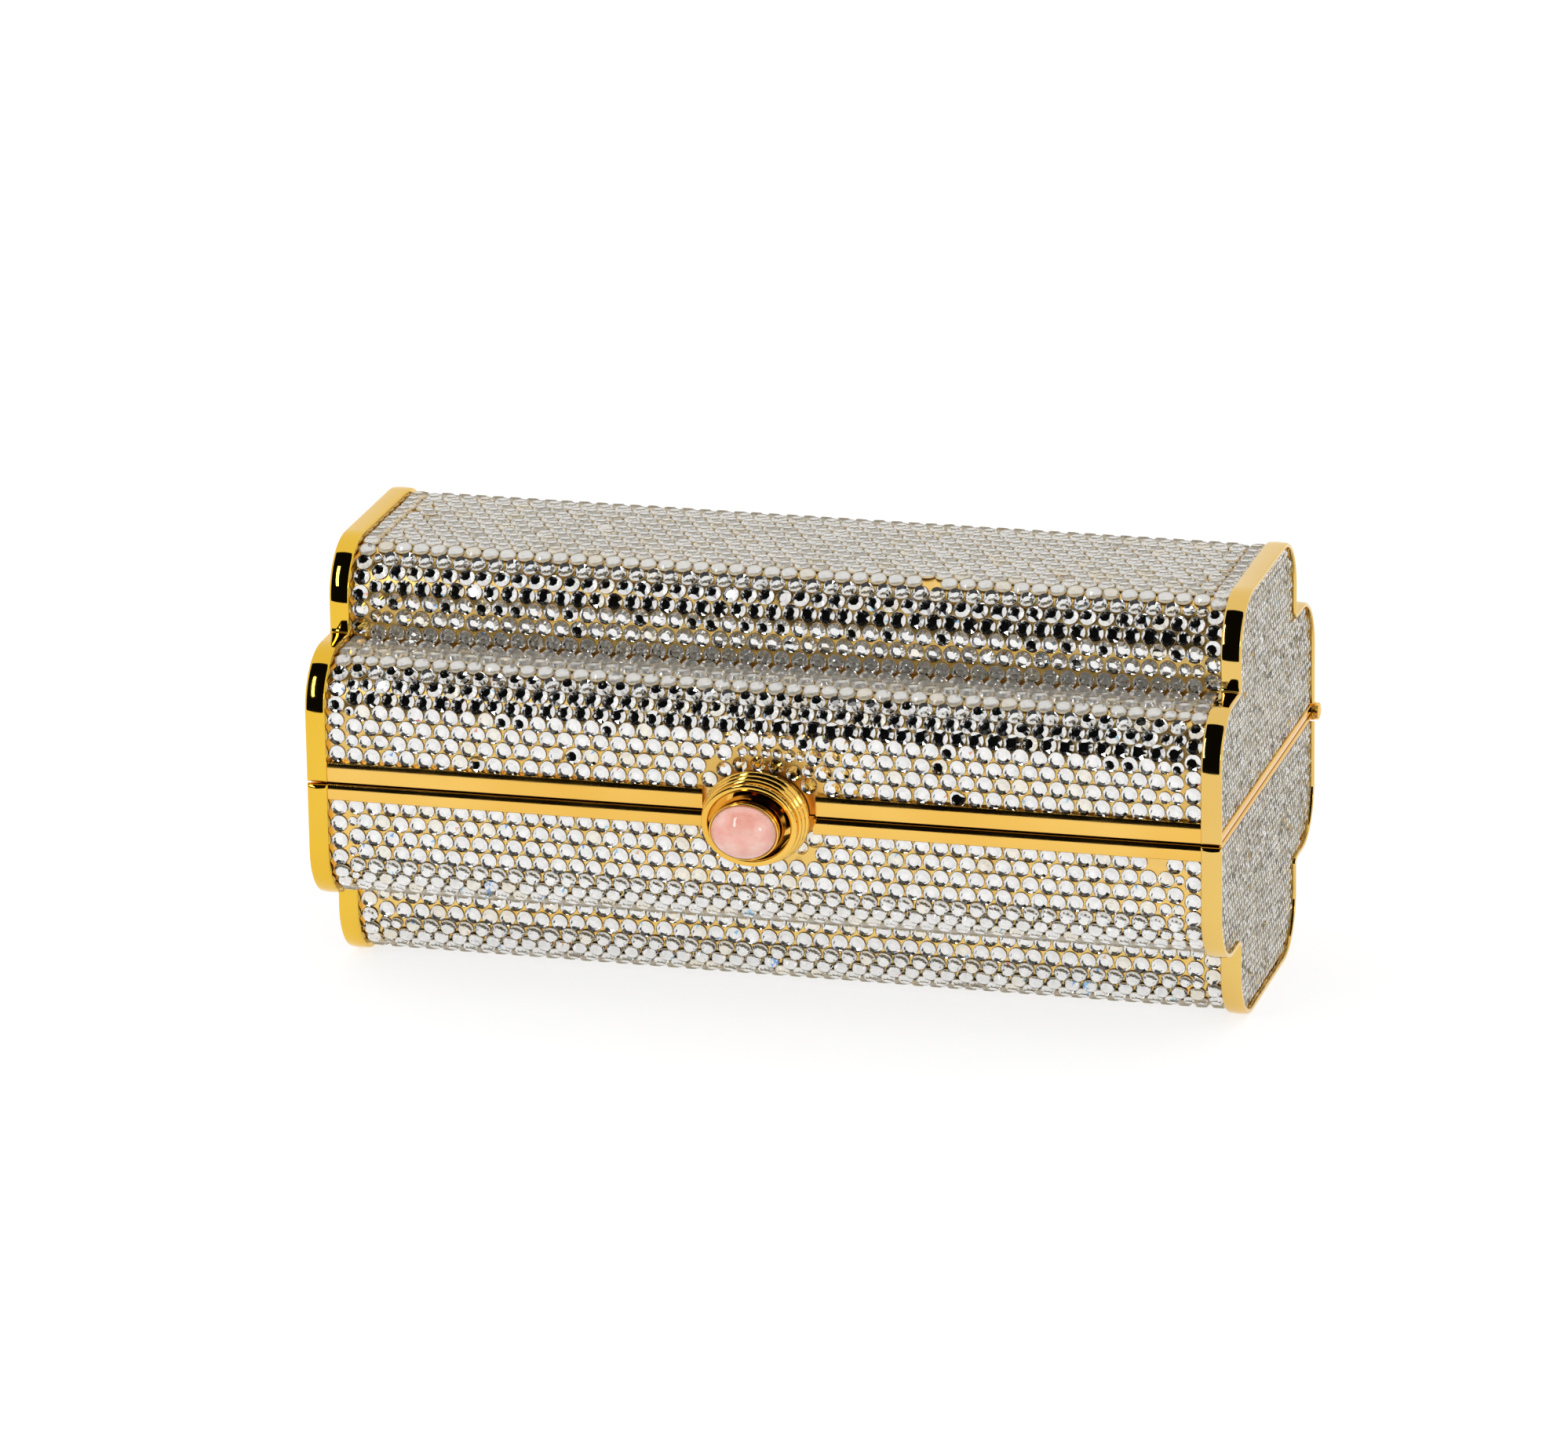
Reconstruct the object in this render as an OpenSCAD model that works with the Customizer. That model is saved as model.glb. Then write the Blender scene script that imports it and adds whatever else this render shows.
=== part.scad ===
// Minaudiere: a rigid evening bag of two hinged metal shells, stepped in section and set all over
// with stones, closed at the front by a push button in a ridged oval collar.
// X runs along the bag, the button faces -Y, Z is up. Lengths are in millimetres.

/* [Body] */
// Length over the end bands
body_l = 160; // [130:1:190]
// Depth over the wide middle
wing_d = 76; // [70:0.5:90]
// Depth over the narrow top and bottom
core_d = 45.5; // [38:0.5:50]
// Height over everything
body_h = 75.6; // [72:0.2:90]
// Height of each narrow step
step_h = 15.3; // [12:0.1:17]
// Radius of the outer corners
corner_r = 10; // [6:0.5:11]
// Height of the flat front from the parting to its rounded corner, for the clasp's pieces
front_flat = 12.5; // [11.8:0.1:12.5]
// Thickness of the metal shell
shell_t = 1; // [0.6:0.1:1.4]
// Gap between lid and base at the parting
parting = 0.3; // [0.2:0.05:0.5]
// Thickness of the leather lining
lining_t = 1.2; // [0.6:0.1:1.6]
// How far the lining stops short of the parting
lining_drop = 0.9; // [0.4:0.1:1.5]

/* [Stones] */
// Diameter of a stone
stone_d = 2.75; // [2.2:0.05:2.8]
// Height of a stone
stone_h = 1.3; // [0.9:0.05:1.5]
// Least distance from one row of stones to the next, which nests in its gaps
row_pitch = 2.45; // [2.35:0.05:3]
// Width of the valley between two rows
row_gap = 0.15; // [0.05:0.05:0.4]
// Bare metal kept clear where a wall meets a shelf
corner_clear = 0.2; // [0.1:0.05:0.6]

/* [End bands] */
// Width of a band along the bag
band_w = 3.6; // [2.8:0.1:4.6]
// How far a band stands beyond the stones
band_proud = 0.5; // [0.3:0.05:0.9]
// Thickness of the rim round an end panel
rim_t = 0.9; // [0.6:0.05:1.2]
// Depth of the end stones behind the rim's edge
end_recess = 0.5; // [0.3:0.05:0.8]
// Rounding of a band's ends at the parting
band_end_r = 0.8; // [0.4:0.1:1.2]

/* [Rails] */
// Height of the lid's front rail
lid_rail_h = 3.6; // [3:0.1:4.2]
// Height of the base's front rail
base_rail_h = 2.9; // [2.8:0.1:3.6]
// How far a front rail stands out from the shell
rail_proud = 1.3; // [0.9:0.05:1.35]
// Rounding of a front rail's edges
rail_r = 0.7; // [0.3:0.05:0.85]
// Height of the lid's end rails
lid_end_rail_h = 1.5; // [1:0.1:2.2]
// Height of the base's end rails
base_end_rail_h = 0.9; // [0.7:0.1:1.8]
// Thickness of the end rails
end_rail_t = 1.5; // [1.35:0.05:1.7]

/* [Hinge] */
// Number of knuckles, an odd number
knuckle_count = 7; // [5:2:11]
// Outer diameter of a knuckle
knuckle_d = 3.2; // [2.6:0.1:3.4]
// Diameter of the hinge pin
hinge_pin_d = 1.6; // [1.2:0.1:1.8]
// Thickness of a hinge leaf
leaf_t = 1; // [0.6:0.1:1.2]
// Gap round and between moving knuckles
knuckle_clear = 0.25; // [0.2:0.05:0.4]
// Diameter of the pin's heads
pin_head_d = 3; // [2.4:0.1:3.4]
// Thickness of the pin's heads
pin_head_t = 0.9; // [0.6:0.1:1.4]
// Radial clearance of a pin in a turning bore
running_fit = 0.05; // [0.02:0.01:0.08]

/* [Clasp] */
// Width of the collar's opening
opening_w = 14.4; // [13.4:0.1:16]
// Height of the collar's opening
opening_h = 12.1; // [11.4:0.1:14]
// Wall of the collar at its front rim
collar_wall = 1.3; // [0.9:0.1:1.6]
// How far the collar stands in front of the bands
collar_out = 6; // [5:0.1:8]
// Number of ridges behind the front rim
ridge_count = 3; // [2:1:4]
// Distance from ridge to ridge
ridge_pitch = 1.25; // [1:0.05:1.3]
// How much each ridge is wider than the one before, on each side
ridge_grow = 0.28; // [0.15:0.01:0.35]
// Gap between the collar and the lid's metal
collar_clear = 0.4; // [0.3:0.05:0.6]
// Bare metal round the collar
collar_margin = 1.1; // [0.8:0.1:1.6]
// Thickness of the collar's floor plate
floor_t = 1; // [0.8:0.1:1.4]

/* [Button] */
// Width of the button's setting
bezel_w = 12.1; // [11:0.1:12.6]
// Height of the button's setting
bezel_h = 10; // [9:0.1:10.6]
// How far the setting stands in front of the collar at rest
bezel_out = 3.5; // [2.6:0.1:4.5]
// Wall of the setting round the stone
bezel_wall = 0.35; // [0.25:0.05:0.5]
// Depth of the stone's seat
seat_depth = 1.4; // [1:0.1:2]
// Height of the stone's dome in front of the setting
dome_h = 3.1; // [2:0.1:3.6]
// Travel of the button
press = 1.5; // [1:0.1:1.8]
// Diameter of the button's stem
stem_d = 3; // [2.4:0.1:3.2]
// Outer diameter of the bush that guides the stem
bush_d = 6; // [5:0.1:6.2]
// How far the bush reaches inside the shell
bush_in = 0.6; // [0.4:0.1:1]
// Diameter of the stem's retaining clip
clip_d = 5.2; // [4.4:0.1:5.4]
// Thickness of the retaining clip
clip_t = 0.5; // [0.4:0.1:0.8]
// Room kept for the return spring when the button is fully in
spring_room = 2.9; // [2.7:0.1:3.2]
// Wire of the button's return spring
spring_wire = 0.5; // [0.4:0.05:0.6]
// Inside diameter of the button's return spring
spring_in_d = 3.8; // [3.5:0.1:4]

/* [Latch] */
// Width of the latch lever
lever_w = 7; // [5:0.1:8]
// Thickness of the latch lever
lever_t = 1.2; // [0.9:0.1:1.5]
// Height of the stem above the lever's pivot
lever_arm = 8; // [7:0.1:8.2]
// Height of the hook's underside above the stem's axis
hook_rise = 4.9; // [4.8:0.1:5.4]
// Height of the hook
hook_h = 1.4; // [1:0.1:2]
// How far the hook reaches in front of the lever
hook_reach = 0.9; // [0.7:0.05:1.1]
// Diameter of the pivot pin
pivot_d = 1.6; // [1.2:0.1:1.8]
// Wall of metal round a pivot bore
pivot_wall = 0.8; // [0.6:0.05:0.9]
// Gap between pieces of the latch that move on each other
latch_clear = 0.3; // [0.2:0.05:0.35]
// Gap between the stem's tip and the lever
tip_gap = 0.1; // [0.05:0.05:0.15]
// Sheet thickness of the bracket and the strike
sheet_t = 0.9; // [0.7:0.05:1]
// Width of the bracket
bracket_w = 16; // [15:0.5:18]
// Width of the strike
strike_w = 9; // [8:0.1:10]
// Height of the strike
strike_h = 6; // [5:0.1:7]
// Thickness of the strike's ledge
ledge_t = 0.9; // [0.7:0.05:1]
// Thickness of the leaf spring
leaf_spring_t = 0.35; // [0.25:0.05:0.4]
// Shank diameter of a rivet
rivet_d = 1.2; // [1:0.1:1.4]
// Thickness of a rivet's head
rivet_head_t = 0.4; // [0.3:0.05:0.5]
// Sheet thickness of the latch cover
cover_t = 0.5; // [0.4:0.05:0.6]

/* [Hidden] */
$fn = 64;
overrun = 1;
// Shares of a stone's diameter and height
table_share = 0.52;
girdle_share = 0.32;
valley_share = 0.12;
belly_share = 0.75;
// Shares of a ridge's pitch at which it rises, is full, and falls again
ridge_shares = [0.08, 0.3, 0.66, 0.92];
// Share of a ridge's pitch left plain behind the first ridge
neck_share = 0.2;
// The collar's rounded rim, as shares of its wall outward and back from its front
rim_shares = [[1, 0.8], [1.04, 0.4], [0.85, 0.12], [0.55, 0], [0.2, 0.1], [0, 0.4]];
// The setting's rounded lip, as shares of its wall inward and back from its front
lip_shares = [[0, 2], [0.25, 1], [0.7, 0]];
// Share of a ring's step from the dome's last ring to its middle
dome_tip_share = 0.4;
// Number of sides of an oval, and of rings in half a dome
oval_sides = 56;
dome_rings = 9;
// Turns of the return spring, rings in a turn and sides of its wire
spring_turns = 4;
spring_rings = 16;
spring_sides = 6;
// Gap left at each end of the return spring
spring_seat = 0.1;

// Main planes
half_l = body_l / 2;
seam_z = body_h / 2;
wing_z = body_h / 2 - step_h;
wing_r = min(corner_r, wing_z - front_flat);
shell_inset = band_proud + stone_h;
panel_x = half_l - end_recess - stone_h;
inner_x = panel_x - shell_t;
field_x = half_l - band_w;
face_y = wing_d / 2 - shell_inset;
wall_y = face_y - shell_t;

// Hinge
hinge_y = wing_d / 2;
knuckle_l = body_l / knuckle_count;
pin_head_gap = parting / 3;

// Clasp, as distances in front of the bag's middle plane
rim_y = wing_d / 2 + collar_out;
collar_back = face_y + collar_clear;
floor_y = collar_back + floor_t;
bezel_y = rim_y + bezel_out;
bezel_back = floor_y + press + spring_room;
neck_grow = collar_wall + ridge_grow * ridge_count;
neck_a = opening_w / 2 + neck_grow;
neck_b = opening_h / 2 + neck_grow;
rail_notch = neck_a + collar_margin / 2;

// Stem and latch, as distances in front of the middle plane and above the parting
bush_y = wall_y - bush_in;
clip_y = bush_y - tip_gap;
tip_y = clip_y - clip_t - tip_gap * 2;
lever_y = tip_y - stem_d / 2 - tip_gap;
boss_r = pivot_d / 2 + pivot_wall;
pivot_y = lever_y - boss_r;
pivot_z = -lever_arm;
hook_top = hook_rise + hook_h;
ledge_y = lever_y + hook_reach + latch_clear;
ledge_z = hook_rise - latch_clear - ledge_t;
ear_t = sheet_t;
ear_x = lever_w / 2 + latch_clear;
bracket_y = wall_y - sheet_t;
bracket_low = latch_clear + cover_t - front_flat;
rivet_head_r = rivet_d;
rivet_x = bracket_w / 2 - rivet_head_r - latch_clear;
rivet_z = pivot_z;
leaf_back = pivot_y - boss_r - latch_clear;
leaf_bend = pivot_z + boss_r;
leaf_tip_y = lever_y - lever_t - latch_clear / 2;
cover_x = bracket_w / 2 + cover_t + latch_clear;
cover_y = leaf_back - leaf_spring_t - latch_clear * 2 - cover_t;
cover_top = -stem_d / 2 - latch_clear;
cover_low = bracket_low - cover_t;
window_x = cover_x + latch_clear;
window_low = cover_low - latch_clear;

// Strike, inside the lid's front wall with a ledge in front of the hook
strike_y = wall_y - sheet_t;
strike_top = ledge_z + strike_h;
strike_rivet_x = strike_w / 2 - rivet_head_r - tip_gap;
strike_rivet_z = strike_top - rivet_head_r - tip_gap;

// Moves the model so that its origin is below the middle of its outline
front_reach = bezel_y + dome_h;
back_reach = hinge_y + knuckle_d / 2;
origin_y = (front_reach - back_reach) / 2;

// Places a shape drawn above the parting as part of the lid
module in_lid() {
    translate([0, origin_y, seam_z]) children();
}

// Places the same shape below the parting as part of the base
module in_base() {
    translate([0, origin_y, seam_z]) mirror([0, 0, 1]) children();
}

// Extrudes an outline drawn in Y and Z along X, from one place to another
module along_x(from, to) {
    translate([from, 0, 0]) rotate([90, 0, 90]) linear_extrude(height = to - from) children();
}

// A round bar along X
module rod_x(from, to, r, y, z) {
    along_x(from, to) translate([y, z]) circle(r = r);
}

// A round bar along Y between two distances in front of the middle plane
module rod_front(near, far, r, x = 0, z = 0) {
    translate([x, -near, z]) rotate([90, 0, 0]) cylinder(h = far - near, r = r);
}

// A box given by its two corners
module block(low, high) {
    translate(low) cube(high - low);
}

module rounded_rect(w, h, r) {
    union() {
        square([w - 2 * r, h], center = true);
        square([w, h - 2 * r], center = true);
        for (sx = [-1, 1], sy = [-1, 1])
            translate([sx * (w / 2 - r), sy * (h / 2 - r)]) circle(r = r);
    }
}

// The stepped section of the bag, drawn in by an inset, centred on the parting
module section(inset) {
    rounded_rect(wing_d - 2 * inset, 2 * (wing_z - inset), wing_r - inset);
    rounded_rect(core_d - 2 * inset, body_h - 2 * inset, corner_r - inset);
}

// The part of the section above a height
module half_section(inset, low = parting / 2) {
    intersection() {
        section(inset);
        translate([-wing_d, low]) square([2 * wing_d, body_h]);
    }
}

// Straight and curved lengths of a line round the shell at the height of the stones' bellies
wing_arc_r = wing_r - shell_inset;
core_arc_r = corner_r - shell_inset;
belly_h = stone_h * belly_share;
wing_arc_l = (wing_arc_r + belly_h) * PI / 2;
core_arc_l = (core_arc_r + belly_h) * PI / 2;
shelf_l = wing_d / 2 - wing_r - core_d / 2 + shell_inset;
riser_l = body_h / 2 - corner_r - wing_z + shell_inset;
crown_l = core_d / 2 - corner_r;
wing_c = wing_d / 2 - wing_r;
core_c = core_d / 2 - corner_r;
function front_l(start) = wing_z - wing_r - start;
function degrees(s, r) = s / (r + belly_h) * 180 / PI;

// A place on the shell as [y, z, normal y, normal z], by distance along that line up the wide part's front
function on_wing(s, start) =
    let (f = front_l(start), r = wing_arc_r, q = degrees(s - f, r))
    s < f ? [-face_y, start + s, -1, 0]
    : s < f + wing_arc_l ? [-wing_c - r * cos(q), wing_z - wing_r + r * sin(q), -cos(q), sin(q)]
    : [-wing_c + s - f - wing_arc_l, wing_z - shell_inset, 0, 1];

// The same by distance from the inner corner up the narrow part and over its top
function on_core(s) =
    let (r = core_arc_r, q = degrees(s - riser_l, r))
    s > riser_l + core_arc_l + crown_l ? flip(on_core(2 * (riser_l + core_arc_l + crown_l) - s))
    : s < riser_l ? [shell_inset - core_d / 2, wing_z - shell_inset + s, -1, 0]
    : s < riser_l + core_arc_l
    ? [-core_c - r * cos(q), body_h / 2 - corner_r + r * sin(q), -cos(q), sin(q)]
    : [-core_c + s - riser_l - core_arc_l, body_h / 2 - shell_inset, 0, 1];

function flip(p) = [-p[0], p[1], -p[2], p[3]];

// A point a height above a place and a distance along the row's tangent there
function lift(p, along, up) = [p[0] + p[2] * up + p[3] * along, p[1] + p[3] * up - p[2] * along];

// A row of stones in section, as [along, up]: valley, girdle, table and girdle
row_w = row_pitch - row_gap;
row_points = [
    [-row_pitch / 2, stone_h * valley_share], [-row_w / 2, stone_h * girdle_share],
    [-stone_d / 2 * table_share, stone_h], [stone_d / 2 * table_share, stone_h],
    [row_w / 2, stone_h * girdle_share]
];
function row_outline(p) = [for (q = row_points) lift(p, q[0], q[1])];

// The rows from the rail to the inner corner, and those over the narrow part
function wing_rows(start) =
    let (
        span = front_l(start) + wing_arc_l + shelf_l - corner_clear,
        n = floor(span / row_pitch),
        step = span / n
    )
    [for (i = [0:n - 1]) each row_outline(on_wing((i + 0.5) * step, start))];

function core_rows() =
    let (
        first = stone_h + corner_clear,
        span = 2 * (riser_l + core_arc_l + crown_l - first),
        n = floor(span / row_pitch),
        step = span / n
    )
    [for (i = [0:n - 1]) each row_outline(on_core(first + (i + 0.5) * step))];

function mirrored(points) =
    let (n = len(points))
    [for (i = [n - 1:-1:0]) [-points[i][0], points[i][1]]];

// All the rows of one half, closed through the shell, above a start height
module row_section(start) {
    front = wing_rows(start);
    polygon(concat([[-face_y, start]], front, core_rows(), mirrored(front), [[face_y, start]]));
}

module oval(a, b) {
    polygon([for (i = [0:oval_sides - 1]) [a * cos(360 * i / oval_sides), b * sin(360 * i / oval_sides)]]);
}

// An oval block standing in front of the middle plane
module oval_block(a, b, near, far) {
    translate([0, -near, 0]) rotate([90, 0, 0]) linear_extrude(height = far - near) oval(a, b);
}

// Faces that join ring after ring of n points
function skin(rings, n, closed = false) = [
    for (j = [0:rings - (closed ? 1 : 2)], i = [0:n - 1])
        let (k = (j + 1) % rings, a = j * n + i, b = j * n + (i + 1) % n, c = k * n + (i + 1) % n, d = k * n + i)
            each [[a, d, c], [a, c, b]]
];

// A closed oval body from rings given as [half width, half height, distance in front]
module oval_body(rings) {
    n = oval_sides;
    m = len(rings);
    points = [for (r = rings, i = [0:n - 1]) [r[0] * cos(360 * i / n), -r[2], r[1] * sin(360 * i / n)]];
    caps = [[for (i = [0:n - 1]) i], [for (i = [n - 1:-1:0]) (m - 1) * n + i]];
    polyhedron(points = points, faces = concat(skin(m, n), caps));
}

// An oval ring from a closed outline given as [distance outside the opening, distance in front]
module oval_ring(a, b, outline) {
    n = oval_sides;
    points = [
        for (p = outline, i = [0:n - 1])
            [(a + p[0]) * cos(360 * i / n), -p[1], (b + p[0]) * sin(360 * i / n)]
    ];
    polyhedron(points = points, faces = skin(len(outline), n, true));
}

// Body of one half: an open shell with closed ends
module shell(notch_r) {
    color("gold") difference() {
        along_x(-panel_x, panel_x) half_section(shell_inset);
        along_x(-inner_x, inner_x) half_section(shell_inset + shell_t, -overrun);
        rod_front(wall_y - overrun, face_y + overrun, notch_r);
    }
}

module base_shell() {
    in_base() difference() {
        shell(bush_d / 2);
        for (sx = [-1, 1])
            rod_front(wall_y - overrun, face_y, rivet_d / 2, sx * rivet_x, -rivet_z);
    }
}

module lid_shell() {
    in_lid() difference() {
        shell(bush_d / 2 + collar_clear);
        for (sx = [-1, 1])
            rod_front(wall_y - overrun, face_y, rivet_d / 2, sx * strike_rivet_x, strike_rivet_z);
    }
}

// Rows of stones along the bag, left open round the collar
module stone_field(start, margin) {
    color("gainsboro") difference() {
        along_x(-field_x, field_x) row_section(start);
        along_x(-half_l, half_l) half_section(shell_inset, -overrun);
        oval_block(neck_a + margin, neck_b + margin, wall_y, rim_y);
    }
}

module base_stones() {
    in_base() stone_field(parting / 2 + base_rail_h, collar_margin / 2);
}

module lid_stones() {
    in_lid() stone_field(parting / 2 + lid_rail_h, collar_margin);
}

// Rows of stones across an end, between its rail and the rim
module end_stones(start) {
    top = body_h / 2 - rim_t;
    n = floor((top - start) / row_pitch);
    step = (top - start) / n;
    rows = [
        for (i = [0:n - 1])
            let (mid = start + (i + 0.5) * step)
                each [for (q = row_points) [mid + q[0], q[1]]]
    ];
    color("silver") difference() {
        intersection() {
            along_x(panel_x, half_l) half_section(rim_t, start);
            end_rows(start, rows, top);
        }
        hinge_room(panel_x, half_l);
    }
}

// The rows of an end in section, drawn across the bag
module end_rows(start, rows, top) {
    translate([panel_x, -wing_d / 2, 0]) rotate([90, 0, 90]) rotate([90, 0, 90])
        linear_extrude(height = wing_d)
            polygon(concat([[start, 0]], rows, [[top, stone_h * valley_share], [top, 0]]));
}

// Room round the hinge's knuckles
module hinge_room(from, to) {
    rod_x(from - overrun, to + overrun, knuckle_d / 2 + knuckle_clear, hinge_y, 0);
}

module base_end_stones_right() {
    in_base() end_stones(parting / 2 + base_end_rail_h);
}

module base_end_stones_left() {
    in_base() mirror([1, 0, 0]) end_stones(parting / 2 + base_end_rail_h);
}

module lid_end_stones_right() {
    in_lid() end_stones(parting / 2 + lid_end_rail_h);
}

module lid_end_stones_left() {
    in_lid() mirror([1, 0, 0]) end_stones(parting / 2 + lid_end_rail_h);
}

// What is taken off a square edge to round it, with the edge at the origin
module cove(r) {
    difference() {
        translate([-overrun, -overrun]) square(r + overrun);
        translate([r, r]) circle(r = r);
    }
}

// Metal band round an end of one half, with a thin rim round the end panel
module end_band() {
    color("goldenrod") difference() {
        along_x(field_x, half_l) half_section(0);
        along_x(field_x - overrun, panel_x) half_section(shell_inset, -overrun);
        along_x(panel_x, half_l + overrun) half_section(rim_t, -overrun);
        hinge_room(field_x, half_l);
        along_x(field_x - overrun, half_l + overrun) translate([-wing_d / 2, parting / 2]) cove(band_end_r);
    }
}

module base_band_right() {
    in_base() end_band();
}

module base_band_left() {
    in_base() mirror([1, 0, 0]) end_band();
}

module lid_band_right() {
    in_lid() end_band();
}

module lid_band_left() {
    in_lid() mirror([1, 0, 0]) end_band();
}

// A bar with rounded edges along the front edge of a shell
module front_rail(h) {
    color("goldenrod") along_x(-field_x, field_x) intersection() {
        translate([-face_y, parting / 2 + h / 2]) rounded_rect(2 * rail_proud, h, rail_r);
        translate([-face_y - rail_proud, parting / 2]) square([rail_proud, h]);
    }
}

module base_front_rail() {
    in_base() difference() {
        front_rail(base_rail_h);
        oval_block(neck_a + tip_gap, neck_b + tip_gap, wall_y, rim_y);
    }
}

module lid_front_rail() {
    in_lid() difference() {
        front_rail(lid_rail_h);
        block([-rail_notch, -rim_y, -overrun], [rail_notch, 0, lid_rail_h + overrun]);
    }
}

// A flat bar across an end, between the rims of its band
module end_rail(h) {
    color("goldenrod") difference() {
        along_x(panel_x, panel_x + end_rail_t) intersection() {
            half_section(rim_t);
            translate([-wing_d, parting / 2]) square([2 * wing_d, h]);
        }
        hinge_room(panel_x, half_l);
    }
}

module base_end_rail_right() {
    in_base() end_rail(base_end_rail_h);
}

module base_end_rail_left() {
    in_base() mirror([1, 0, 0]) end_rail(base_end_rail_h);
}

module lid_end_rail_right() {
    in_lid() end_rail(lid_end_rail_h);
}

module lid_end_rail_left() {
    in_lid() mirror([1, 0, 0]) end_rail(lid_end_rail_h);
}

// Lining of one half, with a window in its front wall for the latch
module lining(window, low, high) {
    color("peru") difference() {
        along_x(-inner_x, inner_x) half_section(shell_inset + shell_t, parting / 2 + lining_drop);
        along_x(lining_t - inner_x, inner_x - lining_t)
            half_section(shell_inset + shell_t + lining_t, -overrun);
        block([-window, -face_y, low], [window, lining_t + latch_clear - wall_y, high]);
    }
}

module base_lining() {
    in_base() lining(window_x, -overrun, -window_low);
}

module lid_lining() {
    in_lid() lining(strike_w / 2 + latch_clear, -overrun, strike_top + latch_clear);
}

// The spans of the knuckles of one leaf, as [from, to], wider by a gap at each side
function spans(first, grow) = [
    for (i = [first:2:knuckle_count - 1])
        let (from = -half_l + i * knuckle_l, to = from + knuckle_l)
            [
                i == 0 ? from : from + knuckle_clear / 2 - grow,
                i == knuckle_count - 1 ? to : to - knuckle_clear / 2 + grow
            ]
];

// A hinge leaf along the back edge with every second knuckle
module hinge_leaf(first, h, bore_r) {
    color("goldenrod") difference() {
        union() {
            difference() {
                along_x(-field_x, field_x) translate([face_y, parting / 2]) square([leaf_t, h]);
                for (s = spans(1 - first, knuckle_clear))
                    rod_x(s[0], s[1], knuckle_d / 2 + knuckle_clear, hinge_y, 0);
            }
            for (s = spans(first, 0))
                rod_x(s[0], s[1], knuckle_d / 2, hinge_y, 0);
        }
        rod_x(-body_l, body_l, bore_r, hinge_y, 0);
    }
}

module base_hinge_leaf() {
    in_base() hinge_leaf(0, base_rail_h, hinge_pin_d / 2);
}

module lid_hinge_leaf() {
    in_lid() hinge_leaf(1, lid_rail_h, hinge_pin_d / 2 + running_fit);
}

// Pin through all knuckles, with a domed head at each end
module hinge_pin() {
    shank = half_l + pin_head_gap;
    color("gold") in_lid() translate([0, hinge_y, 0]) rotate([0, 90, 0]) {
        cylinder(h = 2 * shank, r = hinge_pin_d / 2, center = true);
        for (side = [0, 1])
            mirror([0, 0, side]) translate([0, 0, shank]) rotate_extrude()
                intersection() {
                    translate([0, -pin_head_d]) circle(r = pin_head_d + pin_head_t);
                    square([pin_head_d / 2, pin_head_t]);
                }
    }
}

// One rounded ridge of the collar as [distance outside the opening, distance in front]
function ridge(grow, y) = [
    [grow - ridge_grow, y + ridge_pitch * ridge_shares[0]],
    [grow, y + ridge_pitch * ridge_shares[1]],
    [grow, y + ridge_pitch * ridge_shares[2]],
    [grow - ridge_grow, y + ridge_pitch * ridge_shares[3]]
];

// Ridged collar round the button
module clasp_collar() {
    ridges_y = rim_y - collar_wall - ridge_count * ridge_pitch;
    outline = concat(
        [[0, floor_y], [collar_wall, floor_y], [collar_wall, ridges_y - ridge_pitch * neck_share]],
        [for (i = [0:ridge_count - 1])
            each ridge(collar_wall + ridge_grow * (ridge_count - i), ridges_y + i * ridge_pitch)],
        [for (s = rim_shares) [collar_wall * s[0], rim_y - collar_wall * s[1]]]
    );
    color("gold") in_lid() oval_ring(opening_w / 2, opening_h / 2, outline);
}

// Floor of the collar, seated on the base and clear of the lid
module clasp_floor() {
    a = opening_w / 2 + collar_wall;
    b = opening_h / 2 + collar_wall;
    color("gold") in_lid() difference() {
        union() {
            oval_block(a, b, collar_back, floor_y);
            intersection() {
                oval_block(a, b, face_y, collar_back);
                block([-body_l, -rim_y, -body_h], [body_l, 0, -parting / 2]);
            }
        }
        rod_front(wall_y, rim_y, bush_d / 2);
    }
}

// Bush that guides the button's stem through the front wall
module stem_bush() {
    color("goldenrod") in_lid() difference() {
        rod_front(bush_y, floor_y, bush_d / 2);
        rod_front(bush_y - overrun, floor_y + overrun, stem_d / 2 + running_fit);
    }
}

// Setting that holds the button's stone
module button_setting() {
    a = bezel_w / 2;
    b = bezel_h / 2;
    w = bezel_wall;
    lip = [for (s = lip_shares) [a - w * s[0], b - w * s[0], bezel_y - w * s[1]]];
    color("gold") in_lid() difference() {
        oval_body(concat([[a - w, b - w, bezel_back], [a, b, bezel_back + w]], lip));
        oval_block(a - w, b - w, bezel_y - seat_depth, bezel_y + overrun);
    }
}

// Domed oval stone of the button
module button_stone() {
    a = bezel_w / 2 - bezel_wall;
    b = bezel_h / 2 - bezel_wall;
    girdle = bezel_y - bezel_wall;
    rise = dome_h + bezel_wall;
    dome = [
        for (i = [1:dome_rings - 1])
            let (q = 90 * i / dome_rings)
                [a * cos(q), b * cos(q), girdle + rise * sin(q)]
    ];
    tip = cos(90 * (dome_rings - dome_tip_share) / dome_rings);
    color("pink") in_lid()
        oval_body(concat([[a, b, bezel_y - seat_depth], [a, b, girdle]], dome,
            [[a * tip, b * tip, girdle + rise]]));
}

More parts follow.
